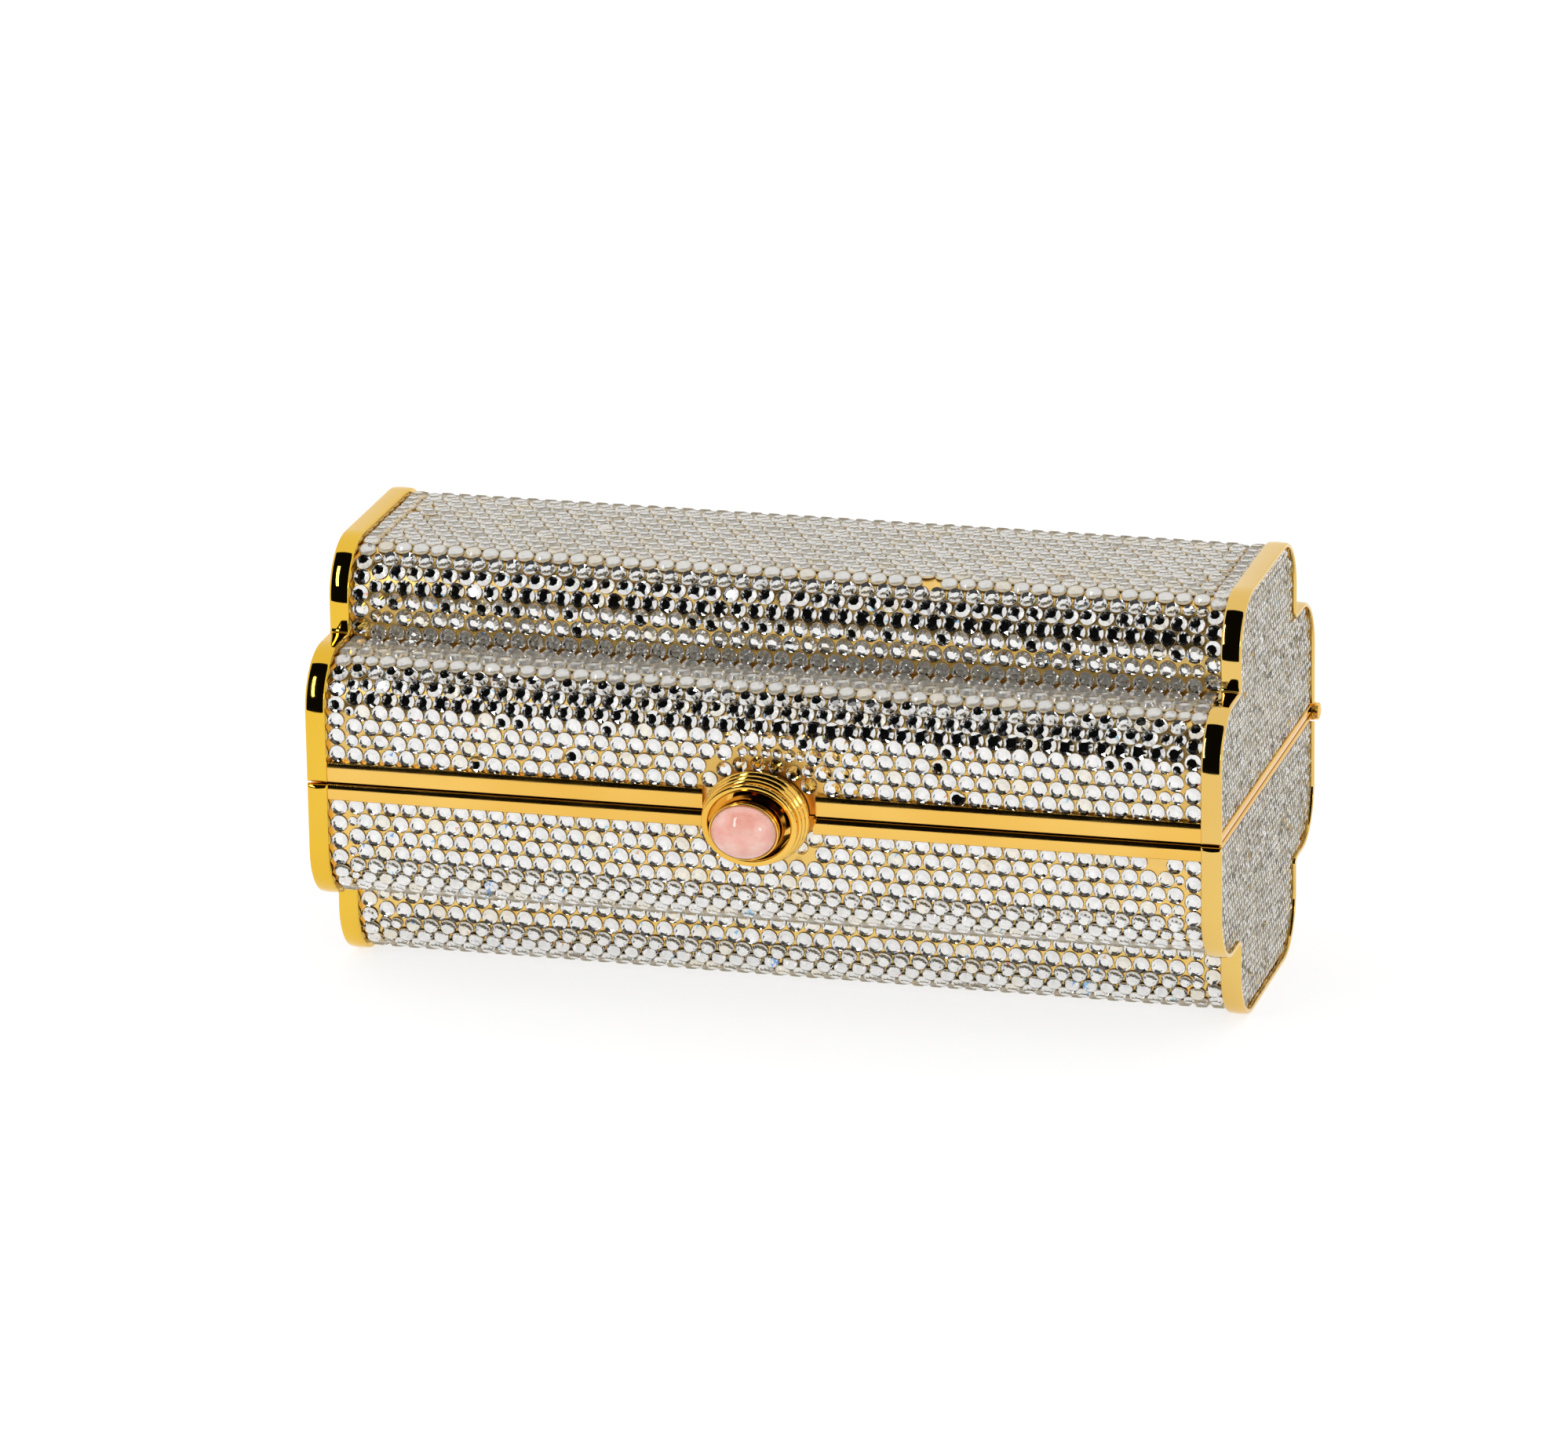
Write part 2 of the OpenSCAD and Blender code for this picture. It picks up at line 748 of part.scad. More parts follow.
// Stem from the setting to the latch lever, with a rounded tip
module button_stem() {
    color("silver") in_lid() {
        rod_front(tip_y, bezel_back, stem_d / 2);
        translate([0, -tip_y, 0]) rotate([-90, 0, 0]) rotate_extrude() intersection() {
            circle(r = stem_d / 2);
            square(stem_d);
        }
    }
}

// Clip that keeps the stem in its bush
module button_clip() {
    color("silver") in_lid() difference() {
        rod_front(clip_y - clip_t, clip_y, clip_d / 2);
        rod_front(tip_y, bush_y, stem_d / 2);
    }
}

// Coiled return spring between the collar's floor and the setting
module button_spring() {
    wire_r = spring_wire / 2;
    coil_r = spring_in_d / 2 + wire_r;
    near = floor_y + spring_seat + wire_r;
    far = bezel_back - spring_seat - wire_r;
    m = spring_turns * spring_rings + 1;
    n = spring_sides;
    points = [
        for (j = [0:m - 1], i = [0:n - 1])
            let (q = 360 * j / spring_rings, v = 360 * i / n, r = coil_r + wire_r * cos(v))
                [r * cos(q), -(near + (far - near) * j / (m - 1) + wire_r * sin(v)), r * sin(q)]
    ];
    caps = [[for (i = [0:n - 1]) i], [for (i = [n - 1:-1:0]) (m - 1) * n + i]];
    color("silver") in_lid() polyhedron(points = points, faces = concat(skin(m, n), caps));
    echo(least_gap_in_button_spring = (far - near) / spring_turns - spring_wire);
}

// Bracket inside the front wall with two ears for the pivot
module latch_bracket() {
    color("silver") in_lid() difference() {
        union() {
            block([-bracket_w / 2, -wall_y, bracket_low], [bracket_w / 2, -bracket_y, -parting]);
            for (sx = [-1, 1])
                translate([sx * (ear_x + ear_t / 2) - ear_t / 2, 0, 0]) ear();
        }
        rod_front(bracket_y - overrun, face_y, bush_d / 2);
        rod_x(-bracket_w, bracket_w, pivot_d / 2, -pivot_y, pivot_z);
        for (sx = [-1, 1])
            rod_front(bracket_y - overrun, face_y, rivet_d / 2, sx * rivet_x, rivet_z);
    }
}

module ear() {
    along_x(0, ear_t) union() {
        translate([-wall_y, pivot_z - boss_r]) square([wall_y - pivot_y, 2 * boss_r]);
        translate([-pivot_y, pivot_z]) circle(r = boss_r);
    }
}

module latch_pivot_pin() {
    reach = ear_x + ear_t + tip_gap;
    color("silver") in_lid() rod_x(-reach, reach, pivot_d / 2, -pivot_y, pivot_z);
}

// Strip spring that pushes the lever's back, bent from a foot on the bracket
module latch_leaf_spring() {
    foot_z = bracket_low;
    t = leaf_spring_t;
    w = lever_w / 2;
    color("silver") in_lid() along_x(-w / 2, w / 2) polygon([
        [-bracket_y, foot_z], [t - leaf_back, foot_z], [t - leaf_back, leaf_bend],
        [t - leaf_tip_y, -latch_clear], [-leaf_tip_y, -latch_clear],
        [-leaf_back, leaf_bend], [-leaf_back, foot_z + t], [-bracket_y, foot_z + t]
    ]);
}

// A rivet from the inside through two sheets, with a low head
module rivet(x, z, head_y) {
    rod_front(head_y, face_y, rivet_d / 2, x, z);
    rod_front(head_y - rivet_head_t, head_y, rivet_head_r, x, z);
}

module latch_rivets() {
    color("gold") in_lid() for (sx = [-1, 1])
        rivet(sx * rivet_x, rivet_z, bracket_y);
}

// Folded cover over the latch, open at the front and slotted at the top
module latch_cover() {
    color("goldenrod") in_lid() difference() {
        block([-cover_x, -wall_y, cover_low], [cover_x, -cover_y, cover_top]);
        block(
            [cover_t - cover_x, -face_y, bracket_low],
            [cover_x - cover_t, -cover_y - cover_t, cover_top - cover_t]
        );
        block([cover_t - cover_x, -face_y, bracket_low], [cover_x - cover_t, -bracket_y, cover_top + overrun]);
        block(
            [-ear_x, -face_y, cover_top - 2 * cover_t],
            [ear_x, leaf_spring_t + 2 * latch_clear - leaf_back, cover_top + overrun]
        );
        rod_front(cover_y, face_y, bush_d / 2 + latch_clear);
    }
}

// Rocking lever with a hook at its top and a bored boss at its foot
module latch_lever() {
    w = lever_w / 2;
    color("silver") in_lid() difference() {
        along_x(-w, w) union() {
            translate([-lever_y, pivot_z]) square([lever_t, hook_top - pivot_z]);
            translate([-pivot_y, pivot_z]) circle(r = boss_r);
            polygon([
                [-lever_y - hook_reach, hook_rise], [-lever_y, hook_rise],
                [-lever_y, hook_top], [-lever_y - hook_reach / 2, hook_top]
            ]);
        }
        rod_x(-lever_w, lever_w, pivot_d / 2 + running_fit, -pivot_y, pivot_z);
    }
}

// Strike inside the lid's front wall, with a ledge in front of the hook
module latch_strike() {
    w = strike_w / 2;
    color("silver") in_lid() difference() {
        union() {
            block([-w, -wall_y, ledge_z], [w, -strike_y, strike_top]);
            block([-w, -wall_y, ledge_z], [w, -ledge_y, ledge_z + ledge_t]);
        }
        for (sx = [-1, 1])
            rod_front(strike_y - overrun, face_y, rivet_d / 2, sx * strike_rivet_x, strike_rivet_z);
    }
}

module strike_rivets() {
    color("gold") in_lid() for (sx = [-1, 1])
        rivet(sx * strike_rivet_x, strike_rivet_z, strike_y);
}

base_shell();
base_stones();
base_end_stones_left();
base_end_stones_right();
base_band_left();
base_band_right();
base_front_rail();
base_end_rail_left();
base_end_rail_right();
base_lining();
base_hinge_leaf();
hinge_pin();
clasp_collar();
clasp_floor();
stem_bush();
latch_bracket();
latch_pivot_pin();
latch_leaf_spring();
latch_rivets();
latch_cover();
latch_lever();
button_setting();
button_stone();
button_stem();
button_clip();
button_spring();
lid_shell();
lid_stones();
lid_end_stones_left();
lid_end_stones_right();
lid_band_left();
lid_band_right();
lid_front_rail();
lid_end_rail_left();
lid_end_rail_right();
lid_lining();
lid_hinge_leaf();
latch_strike();
strike_rivets();
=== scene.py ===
"""Looks of a stepped evening bag: faceted stones in nested rows, polished gold bands and rails, a ridged
oval collar with a pink cabochon button, and a leather lining. Lengths are in millimetres up to mesh_piece."""
import math

import bmesh
import bpy
import numpy as np
from mathutils import Matrix, Vector


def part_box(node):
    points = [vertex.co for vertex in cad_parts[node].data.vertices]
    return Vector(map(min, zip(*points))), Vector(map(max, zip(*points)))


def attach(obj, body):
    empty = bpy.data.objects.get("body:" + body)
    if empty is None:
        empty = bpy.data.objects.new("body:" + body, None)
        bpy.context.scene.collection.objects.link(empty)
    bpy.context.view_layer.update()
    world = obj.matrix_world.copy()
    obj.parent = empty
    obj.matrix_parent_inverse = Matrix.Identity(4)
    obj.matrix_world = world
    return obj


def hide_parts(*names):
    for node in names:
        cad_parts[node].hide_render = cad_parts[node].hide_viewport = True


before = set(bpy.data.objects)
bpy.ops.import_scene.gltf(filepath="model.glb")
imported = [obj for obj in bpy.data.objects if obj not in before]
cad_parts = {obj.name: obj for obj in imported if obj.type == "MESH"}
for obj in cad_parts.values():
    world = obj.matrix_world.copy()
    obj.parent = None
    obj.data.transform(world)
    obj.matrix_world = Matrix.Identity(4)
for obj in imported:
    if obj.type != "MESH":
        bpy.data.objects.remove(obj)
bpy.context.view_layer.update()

# Sizes of the bag, as in the frame
MM = 0.001
BODY_L = 160.0
WING_D = 76.0
CORE_D = 45.5
BODY_H = 75.6
STEP_H = 15.3
CORNER_R = 10.0
PARTING = 0.3
SHELL_T = 1.0
STONE_H = 1.3
BAND_W = 3.6
BAND_PROUD = 0.5
RIM_T = 0.9
END_RECESS = 0.5
LID_RAIL_H = 3.6
BASE_RAIL_H = 2.9
RAIL_PROUD = 1.3
LID_RAIL_CUT = 9.89
BASE_RAIL_GAP = 0.9
END_RAIL_T = 1.5
LID_END_RAIL_H = 1.5
BASE_END_RAIL_H = 0.9
HINGE_ROOM_R = 1.85
HINGE_CLEAR = 0.05
COLLAR_OUT = 6.0
OPENING_A = 7.2
OPENING_B = 6.05
COLLAR_WALL = 1.3
COLLAR_SEAT = 1.4
BEZEL_A = 6.05
BEZEL_B = 5.0
BEZEL_OUT = 3.5
BEZEL_WALL = 0.35
BEZEL_BACK = 42.0
DOME_H = 3.1
LINING_T = 1.2
LINING_DROP = 0.9

# Softened edges and bulges of the metal and the leather
BAND_CROWN = 0.09
BAND_EDGE_R = 0.42
BAND_END_R = 0.8
BAND_FILLET = 0.45
RIM_EDGE_R = 0.18
RAIL_EDGE_R = 0.3
RAIL_BULGE = 0.1
END_RAIL_EDGE_R = 0.25
END_RAIL_BULGE = 0.05
LINING_SOFT_R = 0.8

# Places worked out from them, in a frame with the parting at z = 0 and mid-depth at y = 0
LO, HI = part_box("lid_band_right")
ORIGIN_Y = (LO.y + HI.y) / 2 / MM
SEAM_Z = BODY_H / 2
WING_Z = BODY_H / 2 - STEP_H
INSET = BAND_PROUD + STONE_H
PANEL_X = BODY_L / 2 - END_RECESS - STONE_H
FIELD_X = BODY_L / 2 - BAND_W
FACE_Y = WING_D / 2 - INSET
LOW = PARTING / 2
RIM_Y = WING_D / 2 + COLLAR_OUT
FLOOR_Y = FACE_Y + COLLAR_SEAT
BEZEL_Y = RIM_Y + BEZEL_OUT

SEED = 11
rng = np.random.default_rng(SEED)


def in_frame(points, side=1):
    """Moves points from the bag's middle into the frame, in metres; side -1 mirrors them into the base."""
    p = np.array(points, float).reshape(-1, 3) * (1, 1, side)
    return (p + (0, ORIGIN_Y, SEAM_Z)) * MM


def mesh_piece(name, points, faces, material, body, nodes=(), side=1, sharp=35):
    """A smooth mesh object that rides on a body and stands for CAD nodes; sharp is an angle in degrees."""
    mesh = bpy.data.meshes.new(name)
    mesh.from_pydata(in_frame(points, side).tolist(), [], faces)
    work = bmesh.new()
    work.from_mesh(mesh)
    bmesh.ops.remove_doubles(work, verts=work.verts, dist=1e-7)
    bmesh.ops.recalc_face_normals(work, faces=work.faces)
    work.to_mesh(mesh)
    work.free()
    mesh.materials.append(material)
    mesh.shade_smooth()
    mesh.set_sharp_from_angle(angle=math.radians(sharp))
    return dressed(name, mesh, body, nodes)


def dressed(name, mesh, body, nodes):
    """The object of a mesh, riding on its body, in place of the nodes that it hides."""
    piece = bpy.data.objects.new(name, mesh)
    bpy.context.scene.collection.objects.link(piece)
    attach(piece, body)
    if nodes:
        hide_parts(*nodes)
    return piece


def grid_faces(rows, columns, wrap_rows=False, wrap_columns=False):
    """Quads over a grid of points stored row after row."""
    faces = []
    for i in range(rows if wrap_rows else rows - 1):
        for j in range(columns if wrap_columns else columns - 1):
            k = (i + 1) % rows
            m = (j + 1) % columns
            faces.append((i * columns + j, i * columns + m, k * columns + m, k * columns + j))
    return faces


def arc(cx, cy, r, start, end, count):
    """Points on an arc, by angles in degrees."""
    angles = np.radians(np.linspace(start, end, count))
    return [(cx + r * math.cos(a), cy + r * math.sin(a)) for a in angles]


# Materials

def node(tree, kind, inputs=None, **settings):
    """A shader node; an input's value is a constant or another node's output."""
    made = tree.nodes.new(kind)
    for key, value in settings.items():
        setattr(made, key, value)
    for key, value in (inputs or {}).items():
        if isinstance(value, bpy.types.NodeSocket):
            tree.links.new(value, made.inputs[key])
        else:
            made.inputs[key].default_value = value
    return made


def new_material(name):
    """An empty node material and its tree."""
    material = bpy.data.materials.new(name)
    material.use_nodes = True
    tree = material.node_tree
    tree.nodes.clear()
    return material, tree


def ramp(tree, factor, stops):
    """A colour ramp; each stop is a position and a linear colour."""
    made = node(tree, "ShaderNodeValToRGB", {"Fac": factor})
    elements = made.color_ramp.elements
    elements[0].position, elements[0].color = stops[0][0], (*stops[0][1], 1)
    elements[1].position, elements[1].color = stops[-1][0], (*stops[-1][1], 1)
    for position, colour in stops[1:-1]:
        elements.new(position).color = (*colour, 1)
    return made.outputs["Color"]


def noise(tree, scale, detail=3.0, stretch=(1, 1, 1), roughness=0.5):
    """Noise over the object's own metres, with so many waves in a metre."""
    place = node(tree, "ShaderNodeTexCoord").outputs["Object"]
    spread = node(tree, "ShaderNodeMapping", {"Vector": place, "Scale": stretch}).outputs["Vector"]
    made = node(
        tree,
        "ShaderNodeTexNoise",
        {"Vector": spread, "Scale": scale, "Detail": detail, "Roughness": roughness},
    )
    return made.outputs["Fac"]


def between(tree, factor, low, high):
    """A noise factor spread over a range of values."""
    made = node(
        tree,
        "ShaderNodeMapRange",
        {"Value": factor, "From Min": 0.3, "From Max": 0.7, "To Min": low, "To Max": high},
    )
    return made.outputs["Result"]


def bump(tree, height, strength, distance):
    """A normal that follows a height."""
    made = node(tree, "ShaderNodeBump", {"Height": height, "Strength": strength, "Distance": distance})
    return made.outputs["Normal"]


def finish_material(tree, inputs):
    """The shader and the output of a material."""
    shader = node(tree, "ShaderNodeBsdfPrincipled", inputs)
    node(tree, "ShaderNodeOutputMaterial", {"Surface": shader.outputs["BSDF"]})


def metal(name, deep, pale, rough, scratch=0.04):
    """Polished metal with smudges in its roughness, a drift in its colour and fine scratches."""
    material, tree = new_material(name)
    smudge = noise(tree, 90, 4)
    drift = noise(tree, 30, 2)
    lines = noise(tree, 420, 5, (1, 9, 9), 0.65)
    finish_material(
        tree,
        {
            "Base Color": ramp(tree, drift, [(0.3, deep), (0.7, pale)]),
            "Metallic": 1.0,
            "Roughness": between(tree, smudge, *rough),
            "Normal": bump(tree, lines, scratch, 0.00002),
        },
    )
    return material


def glass(name, tint, pale):
    """Clear cut glass; the tint drifts from stone to stone."""
    material, tree = new_material(name)
    drift = noise(tree, 260, 1)
    finish_material(
        tree,
        {
            "Base Color": ramp(tree, drift, [(0.35, tint), (0.65, pale)]),
            "Roughness": 0.0,
            "IOR": 1.5,
            "Transmission Weight": 1.0,
        },
    )
    return material


def foil(name, dark, pale, metallic=1.0, rough=(0.0, 0.02)):
    """The foil behind a stone or the lacquer on its edge."""
    material, tree = new_material(name)
    wear = noise(tree, 900, 3)
    finish_material(
        tree,
        {
            "Base Color": ramp(tree, wear, [(0.3, dark), (0.7, pale)]),
            "Metallic": metallic,
            "Roughness": between(tree, wear, *rough),
        },
    )
    return material


def rose_quartz():
    """Milky pink stone with clouds and a few pale threads under its polish."""
    material, tree = new_material("rose_quartz")
    clouds = noise(tree, 260, 5, (1, 1, 1.6), 0.6)
    threads = noise(tree, 500, 6, (1, 2.5, 1), 0.7)
    colour = ramp(
        tree,
        clouds,
        [(0.25, (0.8, 0.34, 0.26)), (0.5, (0.88, 0.46, 0.38)), (0.75, (0.94, 0.64, 0.55))],
    )
    finish_material(
        tree,
        {
            "Base Color": colour,
            "Roughness": between(tree, threads, 0.05, 0.1),
            "Subsurface Weight": 0.35,
            "Subsurface Radius": (0.004, 0.0016, 0.0012),
            "Subsurface Scale": 1.0,
            "Coat Weight": 0.5,
            "Coat Roughness": 0.03,
            "Normal": bump(tree, threads, 0.03, 0.00004),
        },
    )
    return material


def leather(name, deep, pale):
    """Fine-grained lining leather."""
    material, tree = new_material(name)
    place = node(tree, "ShaderNodeTexCoord").outputs["Object"]
    grain = node(tree, "ShaderNodeTexVoronoi", {"Vector": place, "Scale": 1100.0}).outputs["Distance"]
    drift = noise(tree, 60, 4)
    finish_material(
        tree,
        {
            "Base Color": ramp(tree, drift, [(0.3, deep), (0.7, pale)]),
            "Roughness": between(tree, drift, 0.45, 0.62),
            "Sheen Weight": 0.1,
            "Normal": bump(tree, grain, 0.35, 0.0001),
        },
    )
    return material


# Gold of several finishes, with a paler copy for the right bands as painted light and a deeper copy for the
# end rails as painted shade, steel, glass, the foil behind the stones, leather and the pink stone
polished = (0.02, 0.07)
gold = metal("polished_gold", (0.77, 0.455, 0.036), (0.83, 0.53, 0.066), polished)
# A deeper copy of the gold for the end rails: painted shade that holds down their pale look at a grazing view
painted_shade_end_rail_gold = metal("painted_shade_end_rail_gold", (0.72, 0.37, 0.02), (0.78, 0.43, 0.035), polished)
# A paler copy of the band gold for the right bands: painted light
painted_lighter_gold = metal("painted_lighter_gold", (0.745, 0.475, 0.125), (0.8, 0.55, 0.165), polished)
shell_gold = metal("shell_gold", (0.84, 0.52, 0.13), (0.9, 0.62, 0.2), (0.2, 0.34), 0.1)
rail_gold = metal("rail_gold", (0.80, 0.46, 0.08), (0.88, 0.56, 0.14), (0.05, 0.11), 0.05)
clasp_gold = metal("clasp_gold", (0.80, 0.45, 0.07), (0.88, 0.55, 0.12), (0.04, 0.1), 0.03)
cover_gold = metal("cover_gold", (0.70, 0.42, 0.1), (0.78, 0.5, 0.16), (0.16, 0.28), 0.12)
steel = metal("latch_steel", (0.5, 0.5, 0.5), (0.62, 0.61, 0.6), (0.18, 0.32), 0.15)
clear_glass = glass("crystal_glass", (0.95, 0.96, 0.97), (1.0, 1.0, 1.0))
warm_glass = glass("warm_crystal_glass", (0.96, 0.91, 0.8), (1.0, 0.97, 0.9))
# Blue and red tinted glass for a few crown facets: painted colour glints that stand in for the fire of clear
# stones
blue_painted_glint_glass = glass("blue_painted_fire_glass", (0.05, 0.22, 0.9), (0.2, 0.6, 0.9))
red_painted_glint_glass = glass("red_painted_fire_glass", (0.8, 0.06, 0.05), (0.9, 0.4, 0.2))
stone_foil = foil("stone_foil", (0.78, 0.77, 0.75), (0.92, 0.91, 0.89))
# A paler, half-matt foil: painted light on the stones that face up, which otherwise render dark grey; some
# end panel stones take it at random as haze
hazy_and_painted_pale_foil = foil("hazy_and_painted_pale_foil", (0.97, 0.94, 0.87), (1.0, 0.98, 0.95), 0.45, (0.05, 0.15))
stone_edge = foil("stone_edge", (0.84, 0.71, 0.46), (0.92, 0.84, 0.66), 0.0, (0.6, 0.8))
thread = leather("lining_thread", (0.62, 0.46, 0.24), (0.72, 0.56, 0.32))
pink_stone = rose_quartz()
tan_leather = leather("lining_leather", (0.36, 0.2, 0.1), (0.46, 0.27, 0.14))


# The section of the bag

def section_line(inset, front_end, back_end, fillet=0.25, corner_points=14):
    """Outline of one half from the front parting over the top to the back, drawn in by an inset."""
    wing_c = WING_D / 2 - CORNER_R
    core_c = CORE_D / 2 - CORNER_R
    r = CORNER_R - inset
    rise = arc(-wing_c, WING_Z - CORNER_R, r, 180, 90, corner_points)
    inner = arc(-CORE_D / 2 - fillet, WING_Z + fillet, fillet + inset, -90, 0, 7)
    crown = arc(-core_c, BODY_H / 2 - CORNER_R, r, 180, 90, corner_points)
    half = rise + inner + crown
    return front_end + half + [(-y, z) for y, z in reversed(half)] + back_end


def held(line, reach=0.25, long=3.0):
    """Adds a point near both ends of each long straight piece, which keeps its shading flat."""
    kept = [line[0]]
    for (y0, z0), (y1, z1) in zip(line, line[1:]):
        length = math.hypot(y1 - y0, z1 - z0)
        if length > long:
            for t in (reach / length, 1 - reach / length):
                kept.append((y0 + (y1 - y0) * t, z0 + (z1 - z0) * t))
        kept.append((y1, z1))
    return kept


def end_band(name, side_x, side, body):
    """Metal band round one end: an edge-rounded strip with a thin rim round the end panel."""
    edge = BAND_EDGE_R
    x0, x1 = FIELD_X, BODY_L / 2
    half = (x1 - x0) / 2 - edge
    profile = [(x0, INSET)]
    profile += arc(x0 + edge, edge + BAND_CROWN, edge, 180, 270, 6)
    profile += [((x0 + x1) / 2 + half * t, BAND_CROWN * t * t) for t in np.linspace(-1, 1, 9)[1:-1]]
    profile += arc(x1 - edge, edge + BAND_CROWN, edge, 270, 360, 6)
    profile += arc(x1 - RIM_EDGE_R, RIM_T - RIM_EDGE_R, RIM_EDGE_R, 0, 90, 4)
    profile += [(PANEL_X, RIM_T), (PANEL_X, INSET)]
    rings = []
    for x, inset in profile:
        front = []
        for a in np.radians(np.linspace(0, 90, 6)):
            least = BAND_END_R * (1 - math.sin(a))
            front.append((-WING_D / 2 + max(inset, least), LOW + BAND_END_R * (1 - math.cos(a))))
        back = [(WING_D / 2 - inset, math.sqrt(HINGE_ROOM_R**2 - inset**2))]
        line = held(section_line(inset, front, back, BAND_FILLET))
        rings.append([(side_x * x, y, z) for y, z in line])
    points = [p for ring in rings for p in ring]
    count, length = len(rings), len(rings[0])
    faces = grid_faces(count, length, wrap_rows=True)
    faces.append([i * length for i in range(count)])
    faces.append([i * length + length - 1 for i in range(count)])
    # The right bands take a paler copy of the band gold than the left ones: painted light on the right side
    metal_here = painted_lighter_gold if side_x > 0 else gold
    mesh_piece(name + "_dressed", points, faces, metal_here, body, [name], side, sharp=40)


for body, side in (("lid", 1), ("base", -1)):
    end_band(body + "_band_right", 1, side, body)
    end_band(body + "_band_left", -1, side, body)


# Rails along the parting

def bar_profile(depth, low, high, r, bulge):
    """Section of a rail as [distance out, height], with rounded edges and a slightly bulging face."""
    first, last = low + r, high - r
    face = []
    for z in np.linspace(first, last, 7):
        share = 2 * (z - first) / (last - first) - 1
        face.append((depth - bulge * share**2, z))
    edge = depth - bulge
    lower = arc(edge - r, low + r, r, -90, 0, 5)[:-1]
    upper = arc(edge - r, high - r, r, 0, 90, 7)[1:]
    return [(0.0, low)] + lower + face + upper + [(0.0, high)]


def front_rail(name, height, inner_x, side, body):
    """The two bars of one front rail, left and right of the collar."""
    profile = bar_profile(RAIL_PROUD, LOW, LOW + height, RAIL_EDGE_R, RAIL_BULGE)
    points, faces = [], []
    n = len(profile)
    support = 0.2
    for sx in (-1, 1):
        first = len(points)
        for x in (inner_x, inner_x + support, FIELD_X):
            points += [(sx * x, -FACE_Y - out, z) for out, z in profile]
        faces += [[first + i for i in face] for face in grid_faces(3, n, wrap_columns=True)]
        faces.append([first + i for i in range(n)])
        faces.append([first + 2 * n + i for i in range(n)])
    mesh_piece(name + "_dressed", points, faces, rail_gold, body, [name], side)


def end_rail(name, height, side_x, side, body):
    """A bar with rounded edges across an end panel."""
    profile = bar_profile(END_RAIL_T, LOW, LOW + height, END_RAIL_EDGE_R, END_RAIL_BULGE)
    n = len(profile)
    points = []
    for y in (-WING_D / 2 + RIM_T, WING_D / 2 - HINGE_ROOM_R - HINGE_CLEAR):
        points += [(side_x * (PANEL_X + out), y, z) for out, z in profile]
    faces = grid_faces(2, n, wrap_columns=True)
    faces += [list(range(n)), list(range(n, 2 * n))]
    # The end rails take the deeper gold, painted shade
    mesh_piece(name + "_dressed", points, faces, painted_shade_end_rail_gold, body, [name], side)


front_rail("lid_front_rail", LID_RAIL_H, LID_RAIL_CUT, 1, "lid")
front_rail("base_front_rail", BASE_RAIL_H, OPENING_A + COLLAR_WALL + BASE_RAIL_GAP, -1, "base")
for side_x, hand in ((1, "right"), (-1, "left")):
    end_rail("lid_end_rail_" + hand, LID_END_RAIL_H, side_x, 1, "lid")
    end_rail("base_end_rail_" + hand, BASE_END_RAIL_H, side_x, -1, "base")


# Collar, setting and cabochon

OVAL_SIDES = 144


def oval_rings(outline, a, b):
    """Rings round an oval; each outline point is a distance outside the oval and one in front."""
    turns = np.linspace(0, 2 * math.pi, OVAL_SIDES, endpoint=False)
    points = []
    for out, front in outline:
        points += [((a + out) * math.cos(q), -front, (b + out) * math.sin(q)) for q in turns]
    return points


def collar():
    """Oval collar with a rounded rim and three rounded ridges that widen toward the bag."""
    pitch, grow, crest_r, crest_proud, stretch = 1.25, 0.28, 0.5, 0.05, 1.06
    rim_w, rim_edge, rim_crown = 1.2, 0.28, 0.02
    throat_depth, groove_in, groove_depth = 0.75, 0.06, 0.95
    seat_in, seat_drop = 0.1, 0.2
    first = RIM_Y - COLLAR_WALL - 3 * pitch
    outline = [(0.0, FLOOR_Y), (0.0, RIM_Y - throat_depth)]
    outline += arc(rim_edge, RIM_Y - rim_edge, rim_edge, 180, 90, 5)
    outline += [(rim_w / 2, RIM_Y + rim_crown)]
    outline += arc(rim_w - rim_edge, RIM_Y - rim_edge, rim_edge, 90, 0, 5)
    outline += [(rim_w - groove_in, RIM_Y - groove_depth)]
    for i in (2, 1, 0):
        crest = COLLAR_WALL + grow * (3 - i) + crest_proud
        middle = first + pitch * (i + 0.5)
        for q in np.radians(np.linspace(80, -80, 9)):
            out = crest - crest_r + crest_r * math.cos(q)
            outline.append((out, middle + crest_r * stretch * math.sin(q)))
    outline += [(COLLAR_WALL - seat_in, first - seat_drop), (COLLAR_WALL - seat_in, FLOOR_Y)]
    points = oval_rings(outline, OPENING_A, OPENING_B)
    faces = grid_faces(len(outline), OVAL_SIDES, wrap_rows=True, wrap_columns=True)
    mesh_piece("collar_dressed", points, faces, clasp_gold, "base", ["clasp_collar"], sharp=50)


